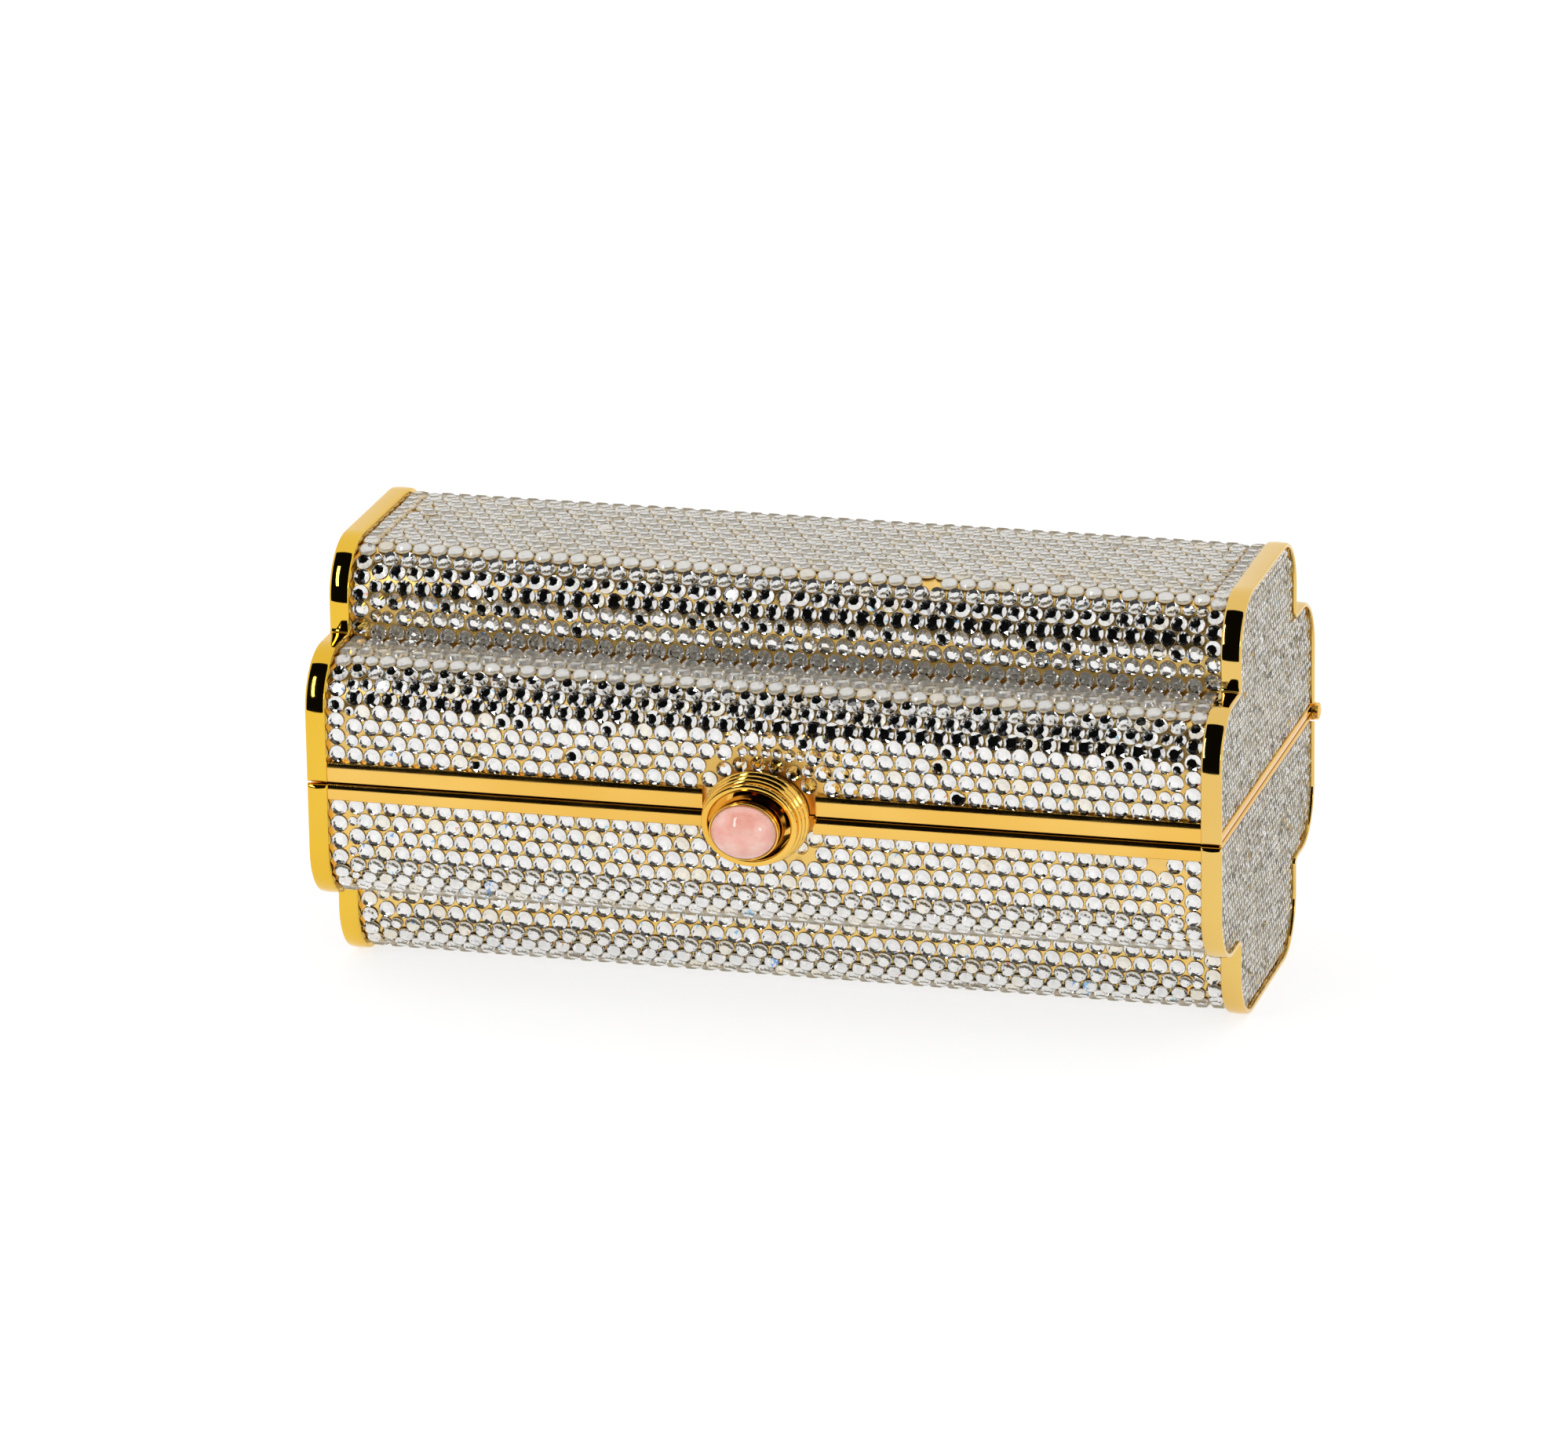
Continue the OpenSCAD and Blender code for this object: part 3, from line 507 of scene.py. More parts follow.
def setting():
    """Cup that holds the cabochon, with a thin rolled lip."""
    w = BEZEL_WALL
    neck_depth, inner_depth = 0.9, 1.35
    waist_in, waist_depth = 0.04, 0.75
    swell_out, swell_depth = 0.03, 0.5
    lip_in, lip_depth, lip_r = 0.16, 0.2, 0.19
    outline = [(-w, BEZEL_BACK), (0.0, BEZEL_BACK + w), (0.0, BEZEL_Y - neck_depth)]
    outline += [(-waist_in, BEZEL_Y - waist_depth), (swell_out, BEZEL_Y - swell_depth)]
    outline += arc(-lip_in, BEZEL_Y - lip_depth, lip_r, 0, 180, 7)
    outline += [(-w, BEZEL_Y - inner_depth)]
    points = oval_rings(outline, BEZEL_A, BEZEL_B)
    count = len(outline)
    faces = grid_faces(count, OVAL_SIDES, wrap_columns=True)
    faces.append(list(range(OVAL_SIDES)))
    faces.append(list(range((count - 1) * OVAL_SIDES, count * OVAL_SIDES)))
    nodes = ["button_setting"]
    mesh_piece("setting_dressed", points, faces, clasp_gold, "button", nodes, sharp=50)


def cabochon():
    """Domed oval stone, with a short girdle inside its cup."""
    fit, girdle_h, roundness = 0.01, 1, 0.92
    rings, sides = 22, 120
    a, b = BEZEL_A - BEZEL_WALL - fit, BEZEL_B - BEZEL_WALL - fit
    girdle = BEZEL_Y - BEZEL_WALL
    rise = DOME_H + BEZEL_WALL
    turns = np.linspace(0, 2 * math.pi, sides, endpoint=False)
    points = [(a * math.cos(q), -(girdle - girdle_h), b * math.sin(q)) for q in turns]
    for t in np.radians(np.linspace(0, 88, rings)):
        wide = math.cos(t) ** roundness
        out = girdle + rise * math.sin(t)
        points += [(a * wide * math.cos(q), -out, b * wide * math.sin(q)) for q in turns]
    faces = grid_faces(rings + 1, sides, wrap_columns=True)
    faces.append(list(range(sides)))
    faces.append(list(range(rings * sides, (rings + 1) * sides)))
    mesh_piece("cabochon_dressed", points, faces, pink_stone, "button", ["button_stone"])


collar()
setting()
cabochon()


# Stones

# Widths and steps of the stones, and the heights of their girdle and table
STONE_D = 2.95
COLUMN_STEP = 3.07
END_D = 1.5
END_STEP = 1.56
PLATE_T = 0.6
PLATE_GAP = 0.03
CLEAR_CUT = (0.2, 1.0)
FACING_UP_CUT = (0.42, 1.02)
CUT_POWER = 0.8
STONE_LIFT = 0.12
TABLE_SHARE = 0.62

# How far stones lean, in degrees; how many lean more, have a tint, take the hazy foil on the end panels and
# carry painted colour glints of fire; and from what upward slant a stone takes the paler foil, as painted
# light
TILT = 1.0
LOOSE_TILT = 5.0
END_TILT = 4.0
LOOSE_SHARE = 0.03
WARM_SHARE = 0.12
END_WARM_SHARE = 0.2
END_HAZE_SHARE = 0.6
BLUE_SHARE = 0.004
RED_SHARE = 0.0015
PAINTED_PALE_FROM = 0.86

STONE_MATERIALS = (clear_glass, warm_glass, stone_foil, stone_edge, blue_painted_glint_glass, red_painted_glint_glass, hazy_and_painted_pale_foil)
FOIL, EDGE, BLUE, RED, HAZY_AND_PAINTED_PALE = 2, 3, 4, 5, 6


def stone_template():
    """A flat-backed stone of radius 1: its table on level 2, its girdle on level 1, its back on level 0.

    Returns its points and triangles, and where the crown, the wall and the table end among them."""
    few, many = 8, 16
    rim, low = few, few + many
    table_turns = np.arange(few) * 2 * math.pi / few
    rim_turns = np.arange(many) * 2 * math.pi / many
    points = [(TABLE_SHARE * math.cos(a), TABLE_SHARE * math.sin(a), 2) for a in table_turns]
    points += [(math.cos(a), math.sin(a), 1) for a in rim_turns]
    points += [(math.cos(a), math.sin(a), 0) for a in rim_turns]
    tris = []
    for k in range(few):
        m = (k + 1) % few
        mid = rim + 2 * k + 1
        tris.append((k, mid, m))
        tris.append((k, mid - 1, mid))
        tris.append((m, mid, rim + (2 * k + 2) % many))
    crown_end = len(tris)
    for k in range(many):
        m = (k + 1) % many
        tris.append((rim + k, low + k, low + m))
        tris.append((rim + k, low + m, rim + m))
    wall_end = len(tris)
    tris += [(0, k, k + 1) for k in range(1, few - 1)]
    table_end = len(tris)
    tris += [(low, low + k + 1, low + k) for k in range(1, many - 1)]
    return np.array(points), np.array(tris), crown_end, wall_end, table_end


STONE_POINTS, STONE_TRIS, CROWN_END, WALL_END, TABLE_END = stone_template()


class StoneSet:
    """Stones gathered for one joined mesh, each as place, normal, along, width and whether it faces up, which
    gives it a taller cut and the paler foil of painted light.
    """

    def __init__(self, warm_share=WARM_SHARE, lean=TILT, haze_share=0.0):
        self.rows = []
        self.warm_share = warm_share
        self.lean = lean
        self.haze_share = haze_share

    def add(self, place, normal, along, d):
        """Keeps one stone; the ones that face up take the paler foil, painted light."""
        self.rows.append((*place, *normal, *along, d, normal[2] > PAINTED_PALE_FROM))

    def corners(self, side):
        """The points of all stones in the frame, each stone leaning and turned a little."""
        data = np.array(self.rows)
        count = len(data)
        flip = np.array((1, 1, side))
        place, n, u = data[:, 0:3] * flip, data[:, 3:6] * flip, data[:, 6:9] * flip
        d, faces_up = data[:, 9], data[:, 10] > 0
        cut = np.where(faces_up[:, None], FACING_UP_CUT, CLEAR_CUT) * (d[:, None] / STONE_D) ** CUT_POWER
        levels = np.column_stack([np.zeros(count), cut])
        lean = np.where(rng.random((count, 1)) < LOOSE_SHARE, LOOSE_TILT, self.lean)
        tilt = rng.normal(0, 1, (count, 2)) * np.radians(lean)
        v = np.cross(n, u)
        n = n + u * tilt[:, :1] + v * tilt[:, 1:]
        n /= np.linalg.norm(n, axis=1)[:, None]
        u = u - n * np.sum(u * n, axis=1)[:, None]
        u /= np.linalg.norm(u, axis=1)[:, None]
        v = np.cross(n, u)
        turn = rng.uniform(0, math.pi / 4, count)
        c, s = np.cos(turn)[:, None], np.sin(turn)[:, None]
        u, v = u * c + v * s, v * c - u * s
        p = STONE_POINTS
        place = place + n * STONE_LIFT
        points = (
            place[:, None, :]
            + (d / 2)[:, None, None] * (p[None, :, 0:1] * u[:, None, :] + p[None, :, 1:2] * v[:, None, :])
            + levels[:, p[:, 2].astype(int)][:, :, None] * n[:, None, :]
        )
        return ((points + (0, ORIGIN_Y, SEAM_Z)) * MM).reshape(-1, 3)

    def material_index(self):
        """The material of each face: glass in front, lacquer on the edge and foil on the back."""
        count = len(self.rows)
        faces_up = np.array([row[-1] for row in self.rows])
        kind = (rng.random(count) < self.warm_share).astype(int)
        index = np.repeat(kind[:, None], len(STONE_TRIS), axis=1)
        # Painted colour glints: a few crown facets take the blue and red glass; stones with the paler painted
        # foil get none, so their facets take a middle value
        fire = np.where(faces_up[:, None], 0.5, rng.random((count, CROWN_END)))
        crown = index[:, :CROWN_END]
        crown[fire < BLUE_SHARE] = BLUE
        crown[fire > 1 - RED_SHARE] = RED
        index[:, CROWN_END:WALL_END] = EDGE
        # Painted light: the stones that face up take the paler foil; some end panel stones take it at random
        # as haze
        haze_and_painted_pale = faces_up | (rng.random(count) < self.haze_share)
        index[:, TABLE_END:] = np.where(haze_and_painted_pale, HAZY_AND_PAINTED_PALE, FOIL)[:, None]
        return index.ravel()

    def build(self, name, body, side):
        """One mesh object of all the stones, in place of a node."""
        points = self.corners(side)
        count = len(self.rows)
        tris = (STONE_TRIS[None] + np.arange(count)[:, None, None] * len(STONE_POINTS)).reshape(-1, 3)
        mesh = bpy.data.meshes.new(name)
        mesh.vertices.add(len(points))
        mesh.vertices.foreach_set("co", points.ravel())
        mesh.loops.add(tris.size)
        mesh.loops.foreach_set("vertex_index", tris.ravel())
        mesh.polygons.add(len(tris))
        mesh.polygons.foreach_set("loop_start", np.arange(0, tris.size, 3))
        for material in STONE_MATERIALS:
            mesh.materials.append(material)
        mesh.polygons.foreach_set("material_index", self.material_index())
        mesh.update()
        mesh.validate()
        mesh.shade_flat()
        print(name, count, "stones", len(tris), "faces")
        dressed(name + "_dressed", mesh, body, [name])


# Lengths along the rows' surface, where rows on a round corner keep their step at the stones' belly
BELLY_SHARE = 0.75
BELLY = BELLY_SHARE * STONE_H
ROW_R = CORNER_R - INSET
ARC_L = (ROW_R + BELLY) * math.pi / 2
SHELF_L = WING_D / 2 - CORNER_R - CORE_D / 2 + INSET
RISER_L = BODY_H / 2 - CORNER_R - WING_Z + INSET
CROWN_L = CORE_D / 2 - CORNER_R
CORE_L = 2 * (RISER_L + ARC_L + CROWN_L)


def on_arc(c, z, q):
    """A place on the round corner with its middle at -c and z, by the angle up from the front."""
    return -c - ROW_R * math.cos(q), z + ROW_R * math.sin(q), -math.cos(q), math.sin(q)


def on_wing(s, start):
    """A place on the wide part as y, z, normal y and normal z, by distance up from the rail."""
    flat = WING_Z - CORNER_R - start
    c = WING_D / 2 - CORNER_R
    if s < flat:
        return -FACE_Y, start + s, -1.0, 0.0
    if s < flat + ARC_L:
        q = (s - flat) / (ROW_R + BELLY)
        return on_arc(c, WING_Z - CORNER_R, q)
    return -c + s - flat - ARC_L, WING_Z - INSET, 0.0, 1.0


def on_core(s):
    """The same on the narrow part, by distance from the inner corner over the top."""
    if s > CORE_L / 2:
        y, z, ny, nz = on_core(CORE_L - s)
        return -y, z, -ny, nz
    c = CORE_D / 2 - CORNER_R
    if s < RISER_L:
        return INSET - CORE_D / 2, WING_Z - INSET + s, -1.0, 0.0
    if s < RISER_L + ARC_L:
        q = (s - RISER_L) / (ROW_R + BELLY)
        return on_arc(c, BODY_H / 2 - CORNER_R, q)
    return -c + s - RISER_L - ARC_L, BODY_H / 2 - INSET, 0.0, 1.0


def mirrored(place):
    """The same places on the back."""
    return lambda s: (-place(s)[0], place(s)[1], -place(s)[2], place(s)[3])


# Columns beside the bands and rows between them, and how far the first and last are from the ends
COLUMN_X = 74.85
ROW_STONES = 48
ROW_STEP = 2 * COLUMN_X / ROW_STONES
WING_ROWS = 11
WING_ROW_ENDS = (1.15, 2.6)
WING_COLUMN_ENDS = (1.4, 1.9)
CORE_ROWS = 24
CORE_ROW_END = 1.6
CORE_COLUMN_END = 2.6

# Small stones that fill the ends of the shifted rows: widths, and gaps to the end and to each other
PAIR_SHARE = 0.55
PAIR_D = (2.15, 2.35)
PAIR_GAPS = (0.05, 0.12)
SMALL_D = (1.55, 1.7)
SMALL_GAP = 0.03

# How evenly the stones were set
ROW_SPREAD = 0.05
COLUMN_SPREAD = 0.04
WIDTH_SHARES = (0.985, 1.01)
RING_OVERLAP = 0.2
END_GAP = 0.08
END_MARGIN = 0.02

NECK_A = OPENING_A + COLLAR_WALL
NECK_B = OPENING_B + COLLAR_WALL

# Stones set one by one round the collar: across, height over the parting, and width
LID_RING = (
    (-8.9, 5.15, 2.8), (-6.3, 7.1, 2.7), (-3.5, 8.2, 2.6), (-0.3, 8.55, 2.6),
    (2.8, 8.35, 2.6), (5.9, 7.3, 2.7), (8.5, 5.2, 2.8),
    (-3.1, 10.5, 1.7), (-1.25, 10.6, 1.7), (1.0, 10.6, 1.7), (2.95, 10.5, 1.7),
    (5.1, 10.3, 2.2), (7.04, 10.3, 1.65), (8.35, 7.75, 2.1),
)
BASE_RING = ((7.0, 5.9, 2.4),)

# Places where a stone is missing, and one that sits askew: across, and distance up from the rail or corner
CORE_GAPS = ((25.0, 17.6), (-72.0, 37.4))
BASE_GAPS = ((68.0, 2.2), (8.6, 4.6))
ASKEW = ((-49.5, 1.3),)
ASKEW_LEAN = 14


def row_spots(full_start):
    """Places and widths of the stones of one row; every second row is shifted by half a step."""
    if full_start:
        return [(-COLUMN_X + ROW_STEP * (j + 1), STONE_D) for j in range(ROW_STONES - 1)]
    inner = [(-COLUMN_X + ROW_STEP * (j + 1.5), STONE_D) for j in range(ROW_STONES - 2)]
    small = []
    edge = COLUMN_X - STONE_D / 2
    for end in (-1, 1):
        if rng.random() < PAIR_SHARE:
            inner = inner[1:] if end < 0 else inner[:-1]
            d = rng.uniform(*PAIR_D)
            small += [(end * (edge - d / 2 - PAIR_GAPS[0]), d), (end * (edge - d * 1.5 - PAIR_GAPS[1]), d)]
        else:
            d = rng.uniform(*SMALL_D)
            small.append((end * (edge - d / 2 - SMALL_GAP), d))
    return small + inner


def row_stones(stones, place, s, full_start, blocked=None, gaps=(), askew=()):
    """One row along the bag between the end columns."""
    for x, d in row_spots(full_start):
        dx, ds = rng.normal(0, ROW_SPREAD, 2)
        y, z, ny, nz = place(s + ds)
        if blocked and blocked(x + dx, z, d):
            continue
        if any(math.hypot(x - gx, s - gs) < STONE_D / 2 for gx, gs in gaps):
            continue
        if any(math.hypot(x - ax, s - at) < STONE_D / 2 for ax, at in askew):
            lean = math.radians(ASKEW_LEAN)
            ny, nz = -math.cos(lean), math.sin(lean)
        put(stones, x + dx, (y, z, ny, nz), d)


def put(stones, x, at, d):
    """Adds one stone of about width d."""
    y, z, ny, nz = at
    stones.add((x, y, z), (0, ny, nz), (1, 0, 0), d * rng.uniform(*WIDTH_SHARES))


def column_stones(stones, place, first, last):
    """Straight columns of stones beside the end bands."""
    count = round((last - first) / COLUMN_STEP)
    for s in np.linspace(first, last, count + 1):
        for sx in (-1, 1):
            x = sx * (COLUMN_X + rng.normal(0, COLUMN_SPREAD))
            put(stones, x, place(s + rng.normal(0, ROW_SPREAD)), STONE_D)


def field(node_name, rail_h, side, body):
    """All the stones of one half along the bag."""
    stones = StoneSet()
    start = LOW + rail_h
    wing_l = WING_Z - CORNER_R - start + ARC_L + SHELF_L
    ring = LID_RING if side > 0 else BASE_RING
    gaps = () if side > 0 else BASE_GAPS

    def blocked(x, z, d):
        r = d / 2
        if (x / (NECK_A + r)) ** 2 + (z / (NECK_B + r)) ** 2 < 1:
            return True
        return any(math.hypot(x - rx, z - rz) < (d + rd) / 2 - RING_OVERLAP for rx, rz, rd in ring)

    def front(s):
        return on_wing(s, start)

    first, last = WING_ROW_ENDS
    for k, s in enumerate(np.linspace(first, wing_l - last, WING_ROWS)):
        row_stones(stones, front, s, k % 2 == 0, blocked, gaps, ASKEW if side > 0 else ())
        row_stones(stones, mirrored(front), s, k % 2 == 0)
    for x, z, d in ring:
        put(stones, x, (-FACE_Y, z, -1.0, 0.0), d)
    first, last = WING_COLUMN_ENDS
    for place in (front, mirrored(front)):
        column_stones(stones, place, first, wing_l - last)
    for k, s in enumerate(np.linspace(CORE_ROW_END, CORE_L - CORE_ROW_END, CORE_ROWS)):
        row_stones(stones, on_core, s, k % 2 == 0, None, CORE_GAPS if side > 0 else ())
    column_stones(stones, on_core, CORE_COLUMN_END, CORE_L - CORE_COLUMN_END)
    stones.build(node_name, body, side)


def in_section(y, z, margin):
    """Whether a place on an end panel is inside the section by a margin."""
    for d, h in ((WING_D, WING_Z), (CORE_D, BODY_H / 2)):
        past_y = max(abs(y) - (d / 2 - CORNER_R), 0)
        past_z = max(abs(z) - (h - CORNER_R), 0)
        inside = abs(y) <= d / 2 - margin and abs(z) <= h - margin
        if inside and math.hypot(past_y, past_z) <= CORNER_R - margin:
            return True
    return False


def end_field(node_name, side_x, rail_h, side, body):
    """Small stones of one end panel in nested rows, on a thin plate."""
    stones = StoneSet(END_WARM_SHARE, END_TILT, END_HAZE_SHARE)
    start = LOW + rail_h
    rows = np.arange(start + END_D / 2 + END_GAP, BODY_H / 2, END_STEP * math.cos(math.pi / 6))
    for k, z in enumerate(rows):
        for y in np.arange(-WING_D / 2, WING_D / 2, END_STEP) + END_STEP / 2 * (k % 2):
            clear = math.hypot(y - WING_D / 2, z) > HINGE_ROOM_R + END_D / 2
            if clear and in_section(y, z, RIM_T + END_D / 2 + END_MARGIN):
                dy, dz = rng.normal(0, ROW_SPREAD, 2)
                place = (side_x * (PANEL_X + PLATE_T), y + dy, z + dz)
                stones.add(place, (side_x, 0, 0), (0, 1, 0), END_D)
    stones.build(node_name, body, side)
    inset = RIM_T + PLATE_GAP
    room = HINGE_ROOM_R + HINGE_CLEAR
    front = [(-WING_D / 2 + inset, start)]
    back = [(WING_D / 2 - inset, math.sqrt(room**2 - inset**2))]
    back.append((WING_D / 2 - math.sqrt(room**2 - start**2), start))
    line = section_line(inset, front, back)
    n = len(line)
    points = [(side_x * x, y, z) for x in (PANEL_X, PANEL_X + PLATE_T) for y, z in line]
    faces = grid_faces(2, n, wrap_columns=True)
    faces += [list(range(n)), list(range(n, 2 * n))]
    mesh_piece(node_name + "_plate", points, faces, shell_gold, body, side=side)


field("lid_stones", LID_RAIL_H, 1, "lid")
field("base_stones", BASE_RAIL_H, -1, "base")
for side_x, hand in ((1, "right"), (-1, "left")):
    end_field("lid_end_stones_" + hand, side_x, LID_END_RAIL_H, 1, "lid")
    end_field("base_end_stones_" + hand, side_x, BASE_END_RAIL_H, -1, "base")


# Linings

LINING_GAP = 0.06
WINDOW_CLEAR = 0.3


def lining(name, window, window_top, side, body):
    """Leather lining of one half, open at the parting, with a window in its front for the latch."""
    inset = INSET + SHELL_T + LINING_T
    low = LOW + LINING_DROP
    out_y = WING_D / 2 - inset
    end_x = PANEL_X - SHELL_T - LINING_T
    soft = LINING_SOFT_R
    turns = np.radians((0, 30, 60, 90))
    right = [(end_x - soft + soft * math.sin(q), soft - soft * math.cos(q)) for q in turns]
    left = [(-x, dy) for x, dy in reversed(right)]
    points = []
    for x, dy in left + [(-window, 0.0), (window, 0.0)] + right:
        front = [(dy - out_y, z) for z in (low, low + soft, window_top)]
        back = [(out_y - dy, z) for z in (low + soft, low)]
        ring = section_line(inset + dy, front, back, 0.0, 8)
        points += [(x, y, z) for y, z in ring]
    n = len(ring)
    count = len(points) // n
    window_first = len(left) * n
    window_faces = (window_first, window_first + 1)
    faces = [face for face in grid_faces(count, n) if face[0] not in window_faces]
    faces.append(list(range(n)))
    faces.append(list(range((count - 1) * n, count * n)))
    piece = mesh_piece(
        name + "_dressed", points, faces, tan_leather, body, [name], side, sharp=50
    )
    thick = piece.modifiers.new("thickness", "SOLIDIFY")
    thick.thickness = (LINING_T - LINING_GAP) * MM
    thick.offset = 1.0
    thick.use_even_offset = True


def hem_path(window):
    """The mouth of a lining from one side of the window round to the other, with round corners."""
    inset = INSET + SHELL_T + LINING_T / 2
    out_y = WING_D / 2 - inset
    out_x = PANEL_X - SHELL_T - LINING_T / 2
    r = LINING_SOFT_R + LINING_T / 2
    path = [(window + WINDOW_CLEAR, -out_y)]
    path += arc(out_x - r, -out_y + r, r, -90, 0, 6)
    path += arc(out_x - r, out_y - r, r, 0, 90, 6)
    path += arc(-out_x + r, out_y - r, r, 90, 180, 6)
    path += arc(-out_x + r, -out_y + r, r, 180, 270, 6)
    path += [(-window - WINDOW_CLEAR, -out_y)]
    return np.array(path)


def hem(name, window, side, body):
    """A rolled hem round the mouth of a lining."""
    path = hem_path(window)
    radius, sides = 0.55, 12
    z = LOW + LINING_DROP
    points = []
    for i, (x, y) in enumerate(path):
        before = path[max(i - 1, 0)]
        after = path[min(i + 1, len(path) - 1)]
        along = (after - before) / np.linalg.norm(after - before)
        across = np.array((along[1], -along[0]))
        for q in np.linspace(0, 2 * math.pi, sides, endpoint=False):
            px, py = np.array((x, y)) + across * radius * math.cos(q)
            points.append((px, py, z + radius * math.sin(q)))
    count = len(path)
    faces = grid_faces(count, sides, wrap_columns=True)
    faces += [list(range(sides)), list(range((count - 1) * sides, count * sides))]
    mesh_piece(name, points, faces, tan_leather, body, side=side, sharp=60)


def stitches(name, window, side, body):
    """A line of stitches below the hem, each a short bar that swells in the middle."""
    path = hem_path(window)
    steps = np.linalg.norm(np.diff(path, axis=0), axis=1)
    walk = np.concatenate([[0], np.cumsum(steps)])
    pitch, long, thin = 3.2, 2.2, 0.22
    taper, least, proud, drop = 0.92, 0.05, 0.02, 1.9
    rings, sides = 5, 6
    z = LOW + LINING_DROP + drop
    points, faces = [], []
    for middle in np.arange(pitch, walk[-1] - pitch, pitch):
        spot, before, after = (
            np.array([np.interp(middle + d, walk, path[:, k]) for k in (0, 1)]) for d in (0, -0.5, 0.5)
        )
        along = (after - before) / np.linalg.norm(after - before)
        inward = np.array((-along[1], along[0]))
        centre = spot + inward * (LINING_T / 2 + proud)
        first = len(points)
        for t in np.linspace(-1, 1, rings):
            r = thin * math.sqrt(max(1 - (taper * t) ** 2, least))
            for q in np.linspace(0, 2 * math.pi, sides, endpoint=False):
                x, y = centre + along * t * long / 2 + inward * r * math.cos(q)
                points.append((x, y, z + r * math.sin(q)))
        faces += [[first + i for i in face] for face in grid_faces(rings, sides, wrap_columns=True)]
        last = first + (rings - 1) * sides
        faces += [list(range(first, first + sides)), list(range(last, last + sides))]
    mesh_piece(name, points, faces, thread, body, side=side, sharp=60)


def window_of(node_name, side):
    """Half width and height over the parting of the window that a node needs, with a small clearance."""
    low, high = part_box(node_name)
    reach = high.z / MM - SEAM_Z if side > 0 else SEAM_Z - low.z / MM
    return max(high.x, -low.x) / MM + WINDOW_CLEAR, reach + WINDOW_CLEAR


for body, side, node_name in (("lid", 1, "latch_strike"), ("base", -1, "latch_cover")):
    window, window_top = window_of(node_name, side)
    lining(body + "_lining", window, window_top, side, body)
    hem(body + "_hem", window, side, body)
    stitches(body + "_stitches", window, side, body)


# Materials of the nodes that stay as they are

KEPT = {
    shell_gold: ("lid_shell", "base_shell"),
    rail_gold: ("base_hinge_leaf", "lid_hinge_leaf", "hinge_pin", "stem_bush"),
    clasp_gold: ("clasp_floor",),
    cover_gold: ("latch_cover", "latch_rivets", "strike_rivets"),
    steel: (
        "latch_bracket", "latch_pivot_pin", "latch_leaf_spring", "latch_lever", "button_stem",
        "button_clip", "button_spring", "latch_strike",
    ),
}
for material, names in KEPT.items():
    for name in names:
        for material_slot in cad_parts[name].material_slots:
            material_slot.material = material


# Floor, world and lamps

# The dark window in front: where its middle is in degrees, its side and top edges as parts of a unit
# direction sideways and forward, how soft they are, and its level for reflections and for plain surfaces
WINDOW_AZ = -12.0
WINDOW_SIDE = 0.5
WINDOW_TOP = 0.12
SIDE_BLUR = 0.02
TOP_BLUR = 0.015
WINDOW_LEVEL = 0.004
DIFFUSE_LEVEL = 0.75

# The floor's reach, grey and glow, and how far it is under the bag, in metres
FLOOR_FRONT = -0.26
FLOOR_BACK = 0.9
FLOOR_HALF_W = 0.8
FLOOR_DROP = 0.0002
FLOOR_GREY = 0.34
FLOOR_GLOW = 0.74
FLOOR_DIFFUSE_GLOW = 0.4

# The lamps' distance in metres, how many times as bright as white they are, and the watts that a square
# metre of lamp needs to be as bright as white
LAMP_DISTANCE = 1.3
LAMP_LEVEL = 7.0
LAMP_WATTS = 4


def lit_world():
    """White all round but for a dark window in front, as in a light tent; the camera sees plain white."""
    world = bpy.data.worlds.new("studio")
    bpy.context.scene.world = world
    world.use_nodes = True
    tree = world.node_tree
    tree.nodes.clear()
    direction = node(tree, "ShaderNodeTexCoord").outputs["Generated"]
    middle = math.radians(WINDOW_AZ)
    ahead = (math.sin(middle), -math.cos(middle), 0)
    aside = (math.cos(middle), math.sin(middle), 0)

    def along(axis):
        made = node(tree, "ShaderNodeVectorMath", {0: direction, 1: axis}, operation="DOT_PRODUCT")
        return made.outputs["Value"]

    def math_node(operation, a, b):
        return node(tree, "ShaderNodeMath", {0: a, 1: b}, operation=operation).outputs["Value"]

    def smooth(value, start, end):
        made = node(
            tree,
            "ShaderNodeMapRange",
            {"Value": value, "From Min": start, "From Max": end, "To Min": 0.0, "To Max": 1.0},
            interpolation_type="SMOOTHSTEP",
        )
        return made.outputs["Result"]

    sideways = math_node("ABSOLUTE", along(aside), 0.0)
    beside = smooth(sideways, WINDOW_SIDE - SIDE_BLUR, WINDOW_SIDE + SIDE_BLUR)
    above = smooth(along(ahead), WINDOW_TOP + TOP_BLUR, WINDOW_TOP - TOP_BLUR)
    outside = math_node("MAXIMUM", beside, above)
    level = node(
        tree, "ShaderNodeMapRange", {"Value": outside, "To Min": WINDOW_LEVEL, "To Max": 1.0}
    ).outputs["Result"]
    rays = node(tree, "ShaderNodeLightPath")
    diffuse = math_node("MAXIMUM", level, DIFFUSE_LEVEL)
    chosen = node(
        tree, "ShaderNodeMix", {"Factor": rays.outputs["Is Diffuse Ray"], "A": level, "B": diffuse}
    ).outputs["Result"]
    final = node(
        tree, "ShaderNodeMix", {"Factor": rays.outputs["Is Camera Ray"], "A": chosen, "B": 1.0}
    ).outputs["Result"]
    light = node(tree, "ShaderNodeBackground", {"Color": (1, 1, 1, 1), "Strength": final})
    node(tree, "ShaderNodeOutputWorld", {"Surface": light.outputs["Background"]})


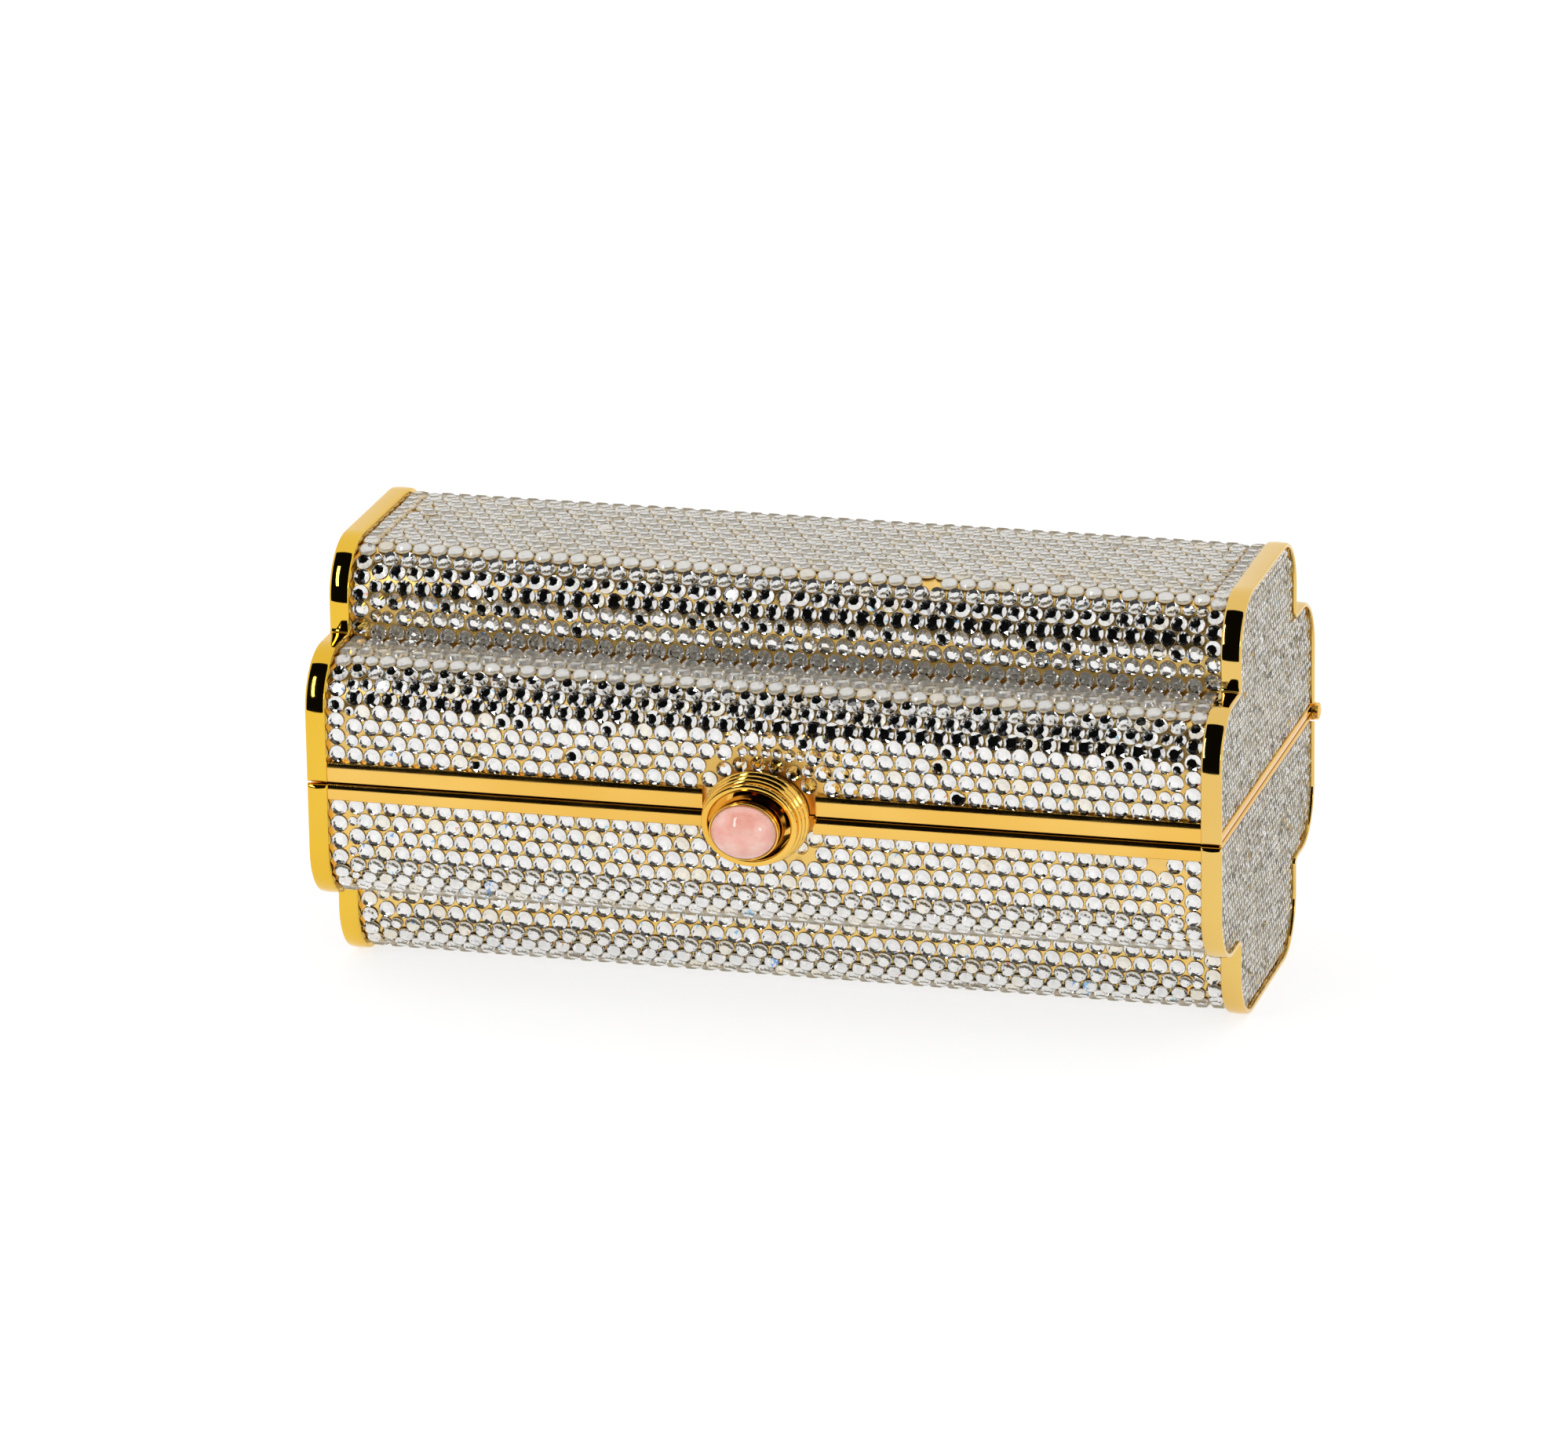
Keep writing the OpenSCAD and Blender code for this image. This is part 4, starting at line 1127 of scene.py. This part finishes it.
def floor():
    """A white sheet that ends in front of the bag, with a little glow so that it meets the white behind."""
    mesh = bpy.data.meshes.new("floor")
    wide = FLOOR_HALF_W
    corners = ((-wide, FLOOR_FRONT), (wide, FLOOR_FRONT), (wide, FLOOR_BACK), (-wide, FLOOR_BACK))
    mesh.from_pydata([(x, y, -FLOOR_DROP) for x, y in corners], [], [(0, 1, 2, 3)])
    material, tree = new_material("floor_white")
    body = node(tree, "ShaderNodeBsdfDiffuse", {"Color": (FLOOR_GREY, FLOOR_GREY, FLOOR_GREY, 1)})
    rays = node(tree, "ShaderNodeLightPath")
    strength = node(
        tree,
        "ShaderNodeMix",
        {"Factor": rays.outputs["Is Diffuse Ray"], "A": FLOOR_GLOW, "B": FLOOR_DIFFUSE_GLOW},
    ).outputs["Result"]
    glow = node(tree, "ShaderNodeEmission", {"Color": (1, 1, 1, 1), "Strength": strength})
    both = node(tree, "ShaderNodeAddShader", {0: body.outputs["BSDF"], 1: glow.outputs["Emission"]})
    node(tree, "ShaderNodeOutputMaterial", {"Surface": both.outputs["Shader"]})
    mesh.materials.append(material)
    sheet = bpy.data.objects.new("floor", mesh)
    bpy.context.scene.collection.objects.link(sheet)


def toward(azimuth, elevation):
    """The direction from the bag by two angles in degrees; azimuth 0 is in front of it."""
    a, e = math.radians(azimuth), math.radians(elevation)
    return Vector((math.sin(a) * math.cos(e), -math.cos(a) * math.cos(e), math.sin(e)))


def lamp(name, low, high, width, distance, level):
    """A lamp that faces the bag between two directions, so many times as bright as the white behind."""
    foot, head = toward(*low) * distance, toward(*high) * distance
    back = (foot + head).normalized()
    upward = (head - foot).normalized()
    data = bpy.data.lights.new(name, "AREA")
    data.shape = "RECTANGLE"
    data.size, data.size_y = width, (head - foot).length
    data.energy = LAMP_WATTS * level * data.size * data.size_y
    made = bpy.data.objects.new(name, data)
    bpy.context.scene.collection.objects.link(made)
    turn = Matrix((upward.cross(back), upward, back)).transposed()
    centre = Vector((0, ORIGIN_Y * MM, SEAM_Z * MM)) + (foot + head) / 2
    made.matrix_world = Matrix.Translation(centre) @ turn.to_4x4()


lit_world()
floor()
lamp("left_lamp", (-24.05, 14.5), (-36.7, 48.6), 0.1, LAMP_DISTANCE, LAMP_LEVEL)
lamp("right_lamp", (38.3, 10), (38.3, 18.8), 0.14, LAMP_DISTANCE, LAMP_LEVEL)


# Camera, from the photograph's view of the bag's corners

PHOTO_W = 1998
FOCAL_PX = 11875.987
AZIMUTH, ELEVATION, ROLL = 15.237, 17.936, -0.883
DISTANCE = 1608.8
AIM_X, AIM_Z = -4.498, 6.589
AIM_HEIGHT = 37.0
SHIFT_X_PX, SHIFT_Y_PX = 6.382, -15.153


def camera():
    """The camera at the photograph's view of the bag."""
    a, roll = math.radians(AZIMUTH), math.radians(ROLL)
    back = toward(AZIMUTH, ELEVATION)
    right = Vector((math.cos(a), math.sin(a), 0))
    up = back.cross(right)
    eye = Vector((0, ORIGIN_Y, AIM_HEIGHT)) + right * AIM_X + up * AIM_Z + back * DISTANCE
    turned_right = right * math.cos(roll) + up * math.sin(roll)
    turned_up = up * math.cos(roll) - right * math.sin(roll)
    data = bpy.data.cameras.new("photo_view")
    data.sensor_width = 36.0
    data.lens = FOCAL_PX / PHOTO_W * data.sensor_width
    data.shift_x = -SHIFT_X_PX / PHOTO_W
    data.shift_y = SHIFT_Y_PX / PHOTO_W
    data.clip_start = 0.01
    made = bpy.data.objects.new("photo_view", data)
    bpy.context.scene.collection.objects.link(made)
    turn = Matrix((turned_right, turned_up, back)).transposed()
    made.matrix_world = Matrix.Translation(eye * MM) @ turn.to_4x4()
    bpy.context.scene.camera = made


camera()
bpy.context.scene.view_settings.view_transform = "Standard"
